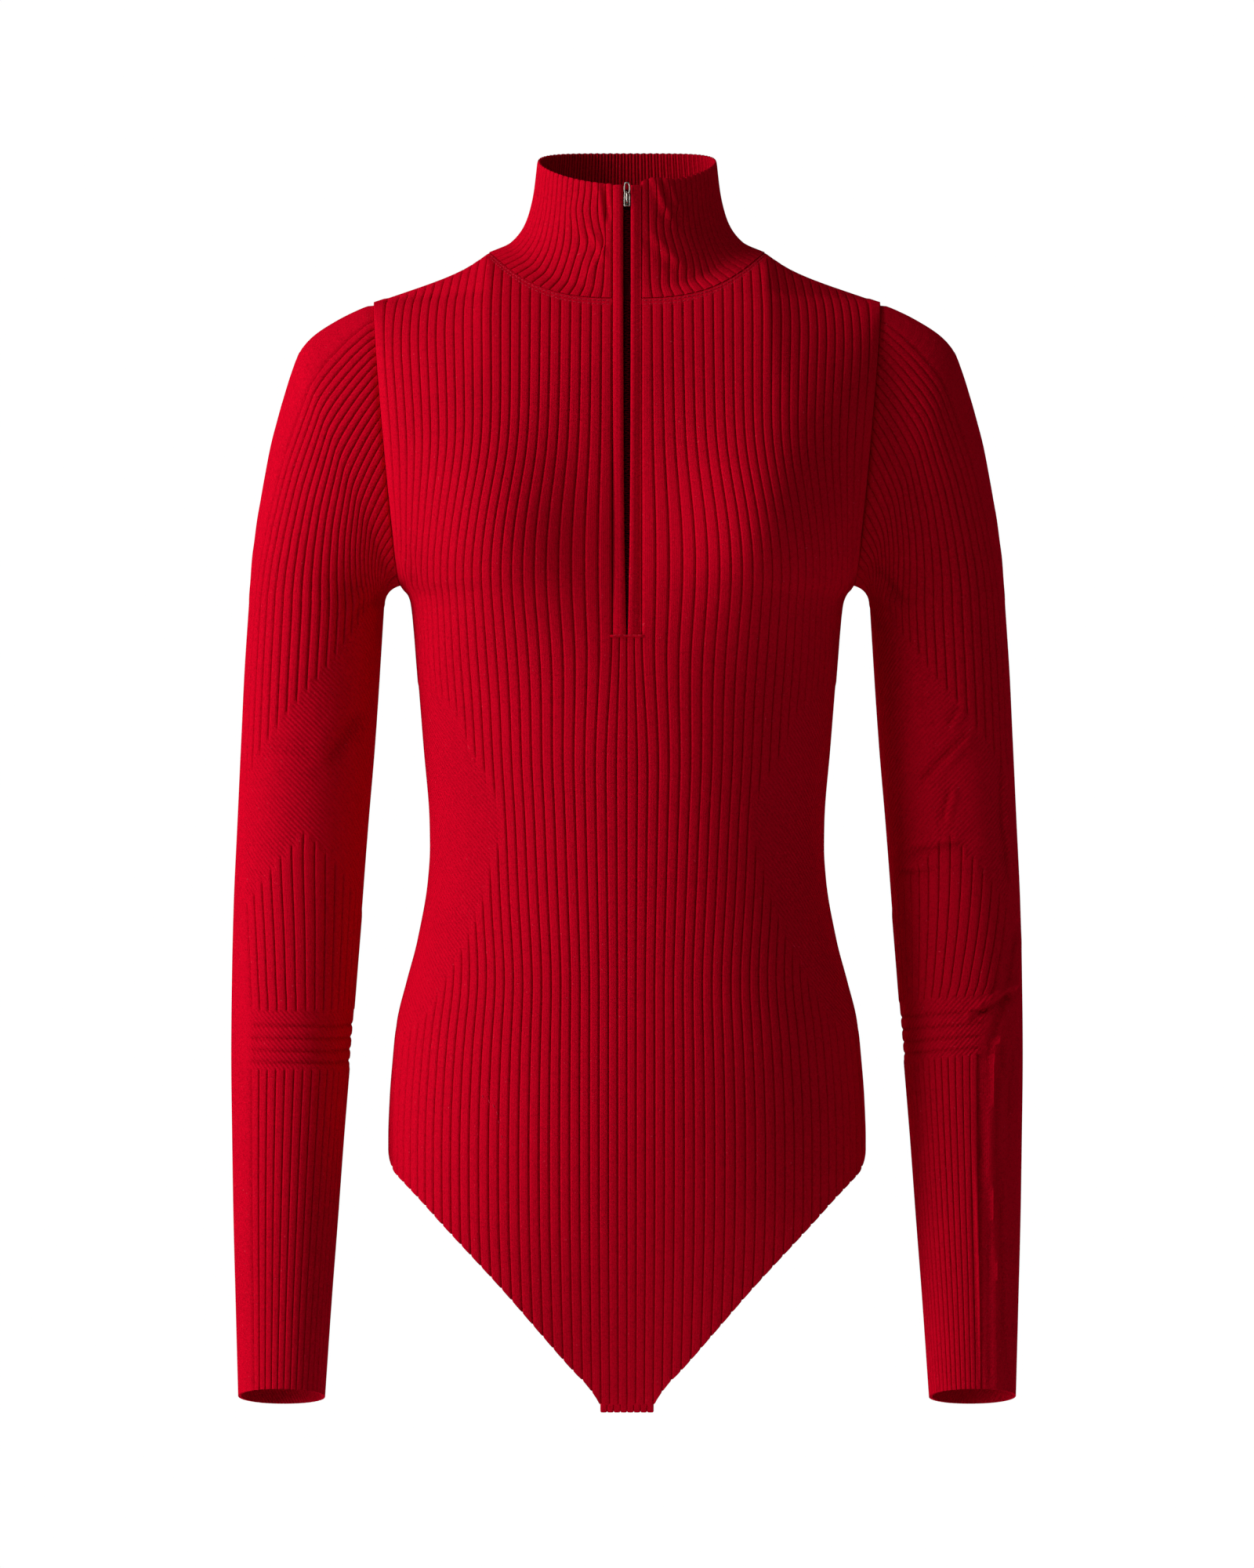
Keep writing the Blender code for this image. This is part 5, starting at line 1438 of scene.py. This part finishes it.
def plate(wall, low, high, bevel):
    """Adds a block with soft edges: low and high hold sizes across, along and out of the zip."""
    origin, along, out = slider_frame()
    low, high = np.array(low, float), np.array(high, float)
    middle, half = (low + high) / 2, (high - low) / 2
    rings = []
    for share, inset in ((-1.0, bevel), (-1.0, 0.0), (1.0, 0.0), (1.0, bevel)):
        lift = share * half[2]
        if inset == 0:
            lift -= share * bevel
        a, b = half[0] - inset, half[1] - inset
        soft = min(bevel, a / 2, b / 2)
        corners = []
        for sx, sy in ((1, 1), (-1, 1), (-1, -1), (1, -1)):
            for turn in (0, 1, 2) if sx * sy > 0 else (2, 1, 0):
                spin = turn * math.pi / 4
                x, y = a - soft + soft * math.cos(spin), b - soft + soft * math.sin(spin)
                corners.append((sx * x, sy * y))
        x, y = middle[:2, None] + np.array(corners).T
        rings.append(origin + np.outer(x, ACROSS) + np.outer(y, along) + out * (middle[2] + lift))
    numbers = wall.add(rings)
    wall.sheet(numbers, closed=True)
    wall.close_ends(numbers)


def tube(wall, points, across, radius, sides=10, closed=False):
    """Adds a round wire along these points. across is a direction square to the wire's plane."""
    points = np.asarray(points, float)
    if closed:
        ahead = np.roll(points, -1, axis=0) - np.roll(points, 1, axis=0)
    else:
        ahead = np.gradient(points, axis=0)
    ahead = unit(ahead)
    sideways = unit(np.cross(ahead, across))
    turn = 2 * math.pi * np.arange(sides) / sides
    rings = points[:, None] + radius * (
        np.cos(turn)[None, :, None] * sideways[:, None] + np.sin(turn)[None, :, None] * np.asarray(across)
    )
    numbers = wall.add(rings)
    if closed:
        numbers = np.concatenate([numbers, numbers[:1]])
    wall.sheet(numbers, closed=True)
    if not closed:
        wall.close_ends(numbers)


def make_slider():
    """Body plate with side rails, a bottom lip and the crown that holds the ring."""
    wall = Wall()
    side = SLIDER_HALF_WIDTH
    plate(wall, (-side, 0.0, -2.9), (side, SLIDER_LENGTH - 0.4, SLIDER_TOP - 0.25), 0.3)
    plate(wall, (-side, 0.0, -1.0), (-side + 0.5, SLIDER_LENGTH - 1.2, SLIDER_TOP), 0.18)
    plate(wall, (side - 0.5, 0.0, -1.0), (side, SLIDER_LENGTH - 1.2, SLIDER_TOP), 0.18)
    plate(wall, (-side, 0.0, -1.0), (side, 0.9, SLIDER_TOP + 0.15), 0.25)
    origin, along, out = slider_frame()
    crown = []
    for step in range(13):
        turn = math.pi * step / 12
        place = 4.85 - 3.1 * math.cos(turn)
        rise = SLIDER_TOP - 0.6 + 3.0 * math.sin(turn) ** 0.6
        crown.append(origin + along * place + out * rise)
    tube(wall, crown, ACROSS, CROWN_WIRE)
    return wall.make("slider_metal", METAL)


def make_ring():
    """The wire ring that stands up from the crown, leaning a little, as one rounded oblong loop."""
    origin, along, out = slider_frame()
    axis = origin + along * PULL_AXIS_ALONG + out * PULL_AXIS_RISE
    middle, reach = (PULL_LENGTH - PULL_WIRE) / 2 - 0.1, (PULL_LENGTH - PULL_WIRE) / 2
    points = []
    for step in range(40):
        turn = 2 * math.pi * step / 40
        x = PULL_HALF_WIDTH * np.sign(math.cos(turn)) * abs(math.cos(turn)) ** 0.75
        y = middle + reach * np.sign(math.sin(turn)) * abs(math.sin(turn)) ** 0.85
        points.append(axis + ACROSS * x + along * y)
    wall = Wall()
    tube(wall, points, out, PULL_WIRE, closed=True)
    return wall.make("ring_metal", METAL)


# Stitches

STITCH_LENGTH = 1.7
STITCH_PITCH = 2.7
STITCH_WIRE = 0.16
NECK_STITCH_ROWS = (1.6, 3.8)
# The pulled threads on the front, beside the left hip in the picture: across, height
SNAG = (
    (-80.0, -474.0),
    (-76.5, -476.5),
    (-74.0, -479.0),
    (-72.0, -483.0),
    (-71.0, -488.0),
    (-69.5, -496.0),
)


def stitch(wall, start, end, normal):
    """Adds one thread float from point to point, bowed off the cloth."""
    shares = np.linspace(0, 1, 6)
    points = start + (end - start) * shares[:, None] + normal * (0.28 * np.sin(math.pi * shares))[:, None]
    tube(wall, points, unit(np.cross(unit(end - start), normal)), STITCH_WIRE, sides=6)


def stitch_along(wall, points, normals, drop):
    length = run_length(points)
    for place in np.arange(0.6, length[-1] - STITCH_LENGTH, STITCH_PITCH):
        normal = unit(read_along(place, length, normals))
        start, end = read_along([place, place + STITCH_LENGTH], length, points) - normal * drop
        stitch(wall, start, end, normal)


def make_stitches():
    """Two rows under the collar's seam at the front, the zip's end bar and the pulled threads."""
    wall = Wall()
    for below in NECK_STITCH_ROWS:
        for side in (-1, 1):
            x = side * np.linspace(SLOT_HALF_WIDTH + 0.8, NECK_HALF_WIDTH - 1.5, 160)
            z = neckline(x, FRONT) - below
            points = body_point(x, z, FRONT)
            stitch_along(wall, points, body_normal(x, z, FRONT), 0.36)
    x = np.linspace(-8.0, 8.0, 20)
    z = np.full(20, SLOT_BOTTOM + 1.2)
    normals = body_normal(x, z, FRONT)
    points = body_point(x, z, FRONT) + normals * (WELT_RISE + 0.1)
    stitch_along(wall, points, normals, 0.0)
    for across, height in SNAG:
        x, z = np.array([across, across + 0.5]), np.array([height, height - 1.6])
        points = body_point(x, z, FRONT)
        normal = body_normal(x, z, FRONT)[0]
        stitch(wall, points[0], points[1], normal)
    return wall.make("seam_stitches", THREAD)


def make_bar():
    """The stitched bar that holds the welts' lower ends down."""
    x = np.linspace(-8.6, 8.6, 24)
    z = np.full(24, SLOT_BOTTOM + 0.6)
    normals = body_normal(x, z, FRONT)
    points = body_point(x, z, FRONT) + normals * 0.1
    ends = np.concatenate([points[:1] - normals[:1] * 1.5, points, points[-1:] - normals[-1:] * 1.5])
    wall = Wall()
    tube(wall, ends, np.array([0.0, 0.0, 1.0]), 0.75, sides=10)
    return wall.make("zip_end_bar", KNIT)


# Gusset

GUSSET_HALF_WIDTH = 15.2
GUSSET_CLEARANCE = 2.2
GUSSET_WALL = 1.4
GUSSET_SIDE_HEIGHTS = (-641.0, -646.5, -651.5)
GUSSET_DIP = ((1.5, -656.4), (5.5, -659.6), (11.0, -660.4), (16.5, -658.6))
GUSSET_ROWS = 44


def gusset_path():
    """Lower side of the gusset from inside the front, under the crotch, to inside the back."""
    path = []
    for face, heights in ((FRONT, GUSSET_SIDE_HEIGHTS), (BACK, GUSSET_SIDE_HEIGHTS[::-1])):
        for z in heights:
            place = body_point(0.0, z, face) - body_normal(0.0, z, face) * (WALL + GUSSET_CLEARANCE - 1.0)
            path.append(place[1:])
    sides = len(GUSSET_SIDE_HEIGHTS)
    path = np.array(path[:sides] + [np.array(place) for place in GUSSET_DIP] + path[sides:])
    length = run_length(path)
    at = np.linspace(0, length[-1], GUSSET_ROWS)
    table = np.column_stack([length, path]).tolist()
    return np.stack([smooth(table, column, at) for column in (1, 2)], axis=1)


def make_gusset():
    path = gusset_path()
    tangent = unit(np.gradient(path, axis=0))
    up = np.stack([-tangent[:, 1], tangent[:, 0]], axis=1)
    up *= np.where(up[:, 1:] < 0, -1, 1)
    phase = rib_columns(GUSSET_RIBS, RIB_COLUMNS)
    across = (phase / GUSSET_RIBS * 2 - 1) * GUSSET_HALF_WIDTH
    drop = rib_drop(phase) * 0.8
    rows = list(zip(path, up))
    outer = [[(x, *(place + rise * depth)) for x, depth in zip(across, drop)] for place, rise in rows]
    inner = [[(x, *(place + rise * GUSSET_WALL)) for x in across] for place, rise in rows]
    wall = Wall()
    wale = phase[None, :] * 4.0
    course = np.arange(GUSSET_ROWS)[:, None] * 1.2
    # Painted shade in the grooves outside and all over the inner face
    outside = wall.add(outer, wale, course, groove_shade(phase)[None, :])
    inside = wall.add(inner, wale, course, 0.2)
    wall.shell(outside, inside)
    return wall.make("gusset_knit", KNIT)


front = make_panel("front_knit", FRONT, True, FRONT_CREASES)
back = make_panel("back_knit", BACK, False, ())
# Creases of the sleeves: from and to as across and height, width, rise
LEFT_SLEEVE_CREASES = (
    (189.2, -260.4, 182.6, -271.1, 1.8, 1.3),
    (194.1, -275.3, 182.0, -288.0, 2.0, 1.6),
    (184.0, -286.0, 167.8, -303.2, 2.2, 1.7),
    (185.1, -304.9, 180.1, -323.0, 2.0, 1.5),
    (156.3, -336.2, 190.8, -330.4, 2.3, 1.7),
    (152.1, -348.5, 172.7, -346.8, 1.9, 1.3),
    (214.7, -288.4, 214.7, -323.0, 1.6, 1.2),
    (214.7, -318.0, 219.6, -355.9, 1.6, 1.2),
    (225.4, -383.8, 217.1, -426.6, 2.0, 1.5),
    (217.6, -422.0, 205.0, -458.0, 2.0, 1.6),
    (206.0, -452.0, 203.1, -512.0, 2.0, 1.6),
    (203.1, -504.0, 206.1, -574.0, 1.8, 1.4),
    (206.1, -564.0, 206.1, -644.0, 1.8, 1.2),
    (219.2, -425.7, 211.2, -479.4, 2.0, 1.4),
    (211.4, -472.0, 212.7, -543.0, 2.0, 1.3),
    (212.7, -536.0, 214.3, -620.0, 1.8, 1.1),
    (222.0, -447.2, 217.6, -490.0, 1.8, 1.1),
    (217.6, -482.0, 217.0, -633.0, 1.8, 1.0),
    (195.1, -517.8, 198.5, -640.8, 1.2, 0.8),
    (190.4, -432.0, 200.0, -425.5, 2.0, 1.4),
    (198.0, -427.0, 221.0, -414.0, 2.0, 1.6),
    (146.8, -199.0, 134.5, -181.0, 2.2, 1.2),
    (153.0, -203.0, 141.0, -184.0, 2.0, 0.9),
)
RIGHT_SLEEVE_CREASES = (
    (-146.8, -199.0, -134.5, -181.0, 2.2, 1.0),
    (-153.0, -203.0, -141.0, -184.0, 2.0, 0.7),
    (-158.0, -212.0, -149.0, -192.0, 2.0, 0.5),
    (-150.0, -262.0, -168.0, -291.0, 5.0, -0.8),
    (-176.0, -296.0, -202.0, -290.0, 5.0, 0.6),
)
# How far above its cut height the band lies, and how much higher outside than inside
LEFT_BAND = (8.0, 10.0)
RIGHT_BAND = (0.0, 1.5)
sleeve_left = make_sleeve("sleeve_left_knit", 1, LEFT_SLEEVE_CREASES, LEFT_BAND, LEFT_STRIP)
sleeve_right = make_sleeve("sleeve_right_knit", -1, RIGHT_SLEEVE_CREASES, RIGHT_BAND, RIGHT_STRIP)
collar = make_collar()
welt_left = make_welt("welt_left_knit", 1)
welt_right = make_welt("welt_right_knit", -1)
bar = make_bar()
coil = make_coil()
slider = make_slider()
ring = make_ring()
stitches = make_stitches()
gusset = make_gusset()
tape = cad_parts["zip_tape"]
tape.data.materials[0] = TAPE
for piece, cad_nodes, slot in (
    (front, ("front_bodice", "front_brief"), "rib_knit"),
    (back, ("back_bodice", "back_brief"), "rib_knit"),
    (sleeve_left, ("sleeve_left",), "rib_knit"),
    (sleeve_right, ("sleeve_right",), "rib_knit"),
    (collar, ("collar",), "rib_knit"),
    (welt_left, ("zip_welt_left",), "rib_knit"),
    (welt_right, ("zip_welt_right",), "rib_knit"),
    (gusset, ("crotch_gusset",), "rib_knit"),
    (bar, (), "rib_knit"),
    (stitches, (), "rib_knit"),
    (coil, (), "zip_tape"),
    (slider, ("zip_slider",), "zip_metal"),
):
    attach(piece, "garment")
    if cad_nodes:
        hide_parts(*cad_nodes)
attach(ring, "pull")
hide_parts("pull_ring")


# Camera, light and floor

CAMERA_DISTANCE = 3.0
CAMERA_HEIGHT = -0.302
PICTURE_HEIGHT = 0.891
SENSOR = 36.0
FLOOR_Z = -1.35
FLOOR_GLOW = 0.6
WORLD_LIGHT = 0.004


def look_from(thing, place, target):
    thing.location = place
    direction = Vector(target) - Vector(place)
    thing.rotation_euler = direction.to_track_quat("-Z", "Y").to_euler()


def area_light(name, place, target, size, power, colour=(1.0, 1.0, 1.0)):
    data = bpy.data.lights.new(name, "AREA")
    data.shape = "RECTANGLE"
    data.size, data.size_y = size
    data.energy = power
    data.color = colour
    light = bpy.data.objects.new(name, data)
    bpy.context.scene.collection.objects.link(light)
    look_from(light, place, target)
    return light


camera_data = bpy.data.cameras.new("camera")
camera_data.sensor_width = SENSOR
camera_data.lens = SENSOR / 2 / (PICTURE_HEIGHT / 2 / CAMERA_DISTANCE)
camera = bpy.data.objects.new("camera", camera_data)
bpy.context.scene.collection.objects.link(camera)
look_from(camera, (0.0, -CAMERA_DISTANCE, CAMERA_HEIGHT), (0.0, 0.0, CAMERA_HEIGHT))
bpy.context.scene.camera = camera

MIDDLE = (0.0, 0.0, -0.3)
LIGHT_DISTANCE = 2.4
# Name, angle towards the picture's left, angle up, width, height, power
LIGHTS = (
    ("key_low", 80.0, 0.0, 0.9, 1.6, 6.0),
    ("key_front", 65.0, 5.0, 0.9, 1.6, 28.0),
    ("key_high", 70.0, 40.0, 0.9, 1.6, 29.0),
    ("fill_front", 20.0, 46.0, 1.2, 1.2, 5.5),
    ("fill_right", -55.0, 15.0, 0.9, 1.6, 3.2),
    ("rim_right", -80.0, 0.0, 0.6, 1.6, 2.5),
    ("behind_left", 160.0, 15.0, 1.2, 1.6, 26.0),
    ("behind_right", -155.0, 10.0, 1.2, 1.6, 12.0),
)
for name, azimuth, rise, width, height, power in LIGHTS:
    azimuth, rise = math.radians(azimuth), math.radians(rise)
    reach = LIGHT_DISTANCE * math.cos(rise)
    up = MIDDLE[2] + LIGHT_DISTANCE * math.sin(rise)
    place = (-reach * math.sin(azimuth), -reach * math.cos(azimuth), up)
    area_light(name, place, MIDDLE, (width, height), power)

world = bpy.data.worlds.new("studio")
world.use_nodes = True
bpy.context.scene.world = world
world_tree = world.node_tree
background = world_tree.nodes["Background"]
background.inputs["Color"].default_value = (1.0, 1.0, 1.0, 1.0)
ray = node(world_tree, "ShaderNodeLightPath")
strength = plus(world_tree, ray.outputs["Is Camera Ray"], WORLD_LIGHT)
wire(world_tree, strength, background.inputs["Strength"])

floor_mesh = bpy.data.meshes.new("floor")
FLOOR_HALF = 4.0
floor_mesh.from_pydata(
    [(x * FLOOR_HALF, y * FLOOR_HALF, FLOOR_Z) for x, y in ((-1, -1), (1, -1), (1, 1), (-1, 1))],
    [],
    [(0, 1, 2, 3)],
)
floor = bpy.data.objects.new("floor", floor_mesh)
bpy.context.scene.collection.objects.link(floor)
floor_finish, floor_tree, floor_shader, _ = blank_material("pale_floor", 0.6)
floor_shader.inputs["Base Color"].default_value = (0.9, 0.9, 0.9, 1.0)
floor_shader.inputs["Emission Color"].default_value = (1.0, 1.0, 1.0, 1.0)
floor_ray = node(floor_tree, "ShaderNodeLightPath")
floor_glow = times(floor_tree, floor_ray.outputs["Is Camera Ray"], FLOOR_GLOW)
wire(floor_tree, floor_glow, floor_shader.inputs["Emission Strength"])
floor_mesh.materials.append(floor_finish)
bpy.context.scene.view_settings.view_transform = "Standard"
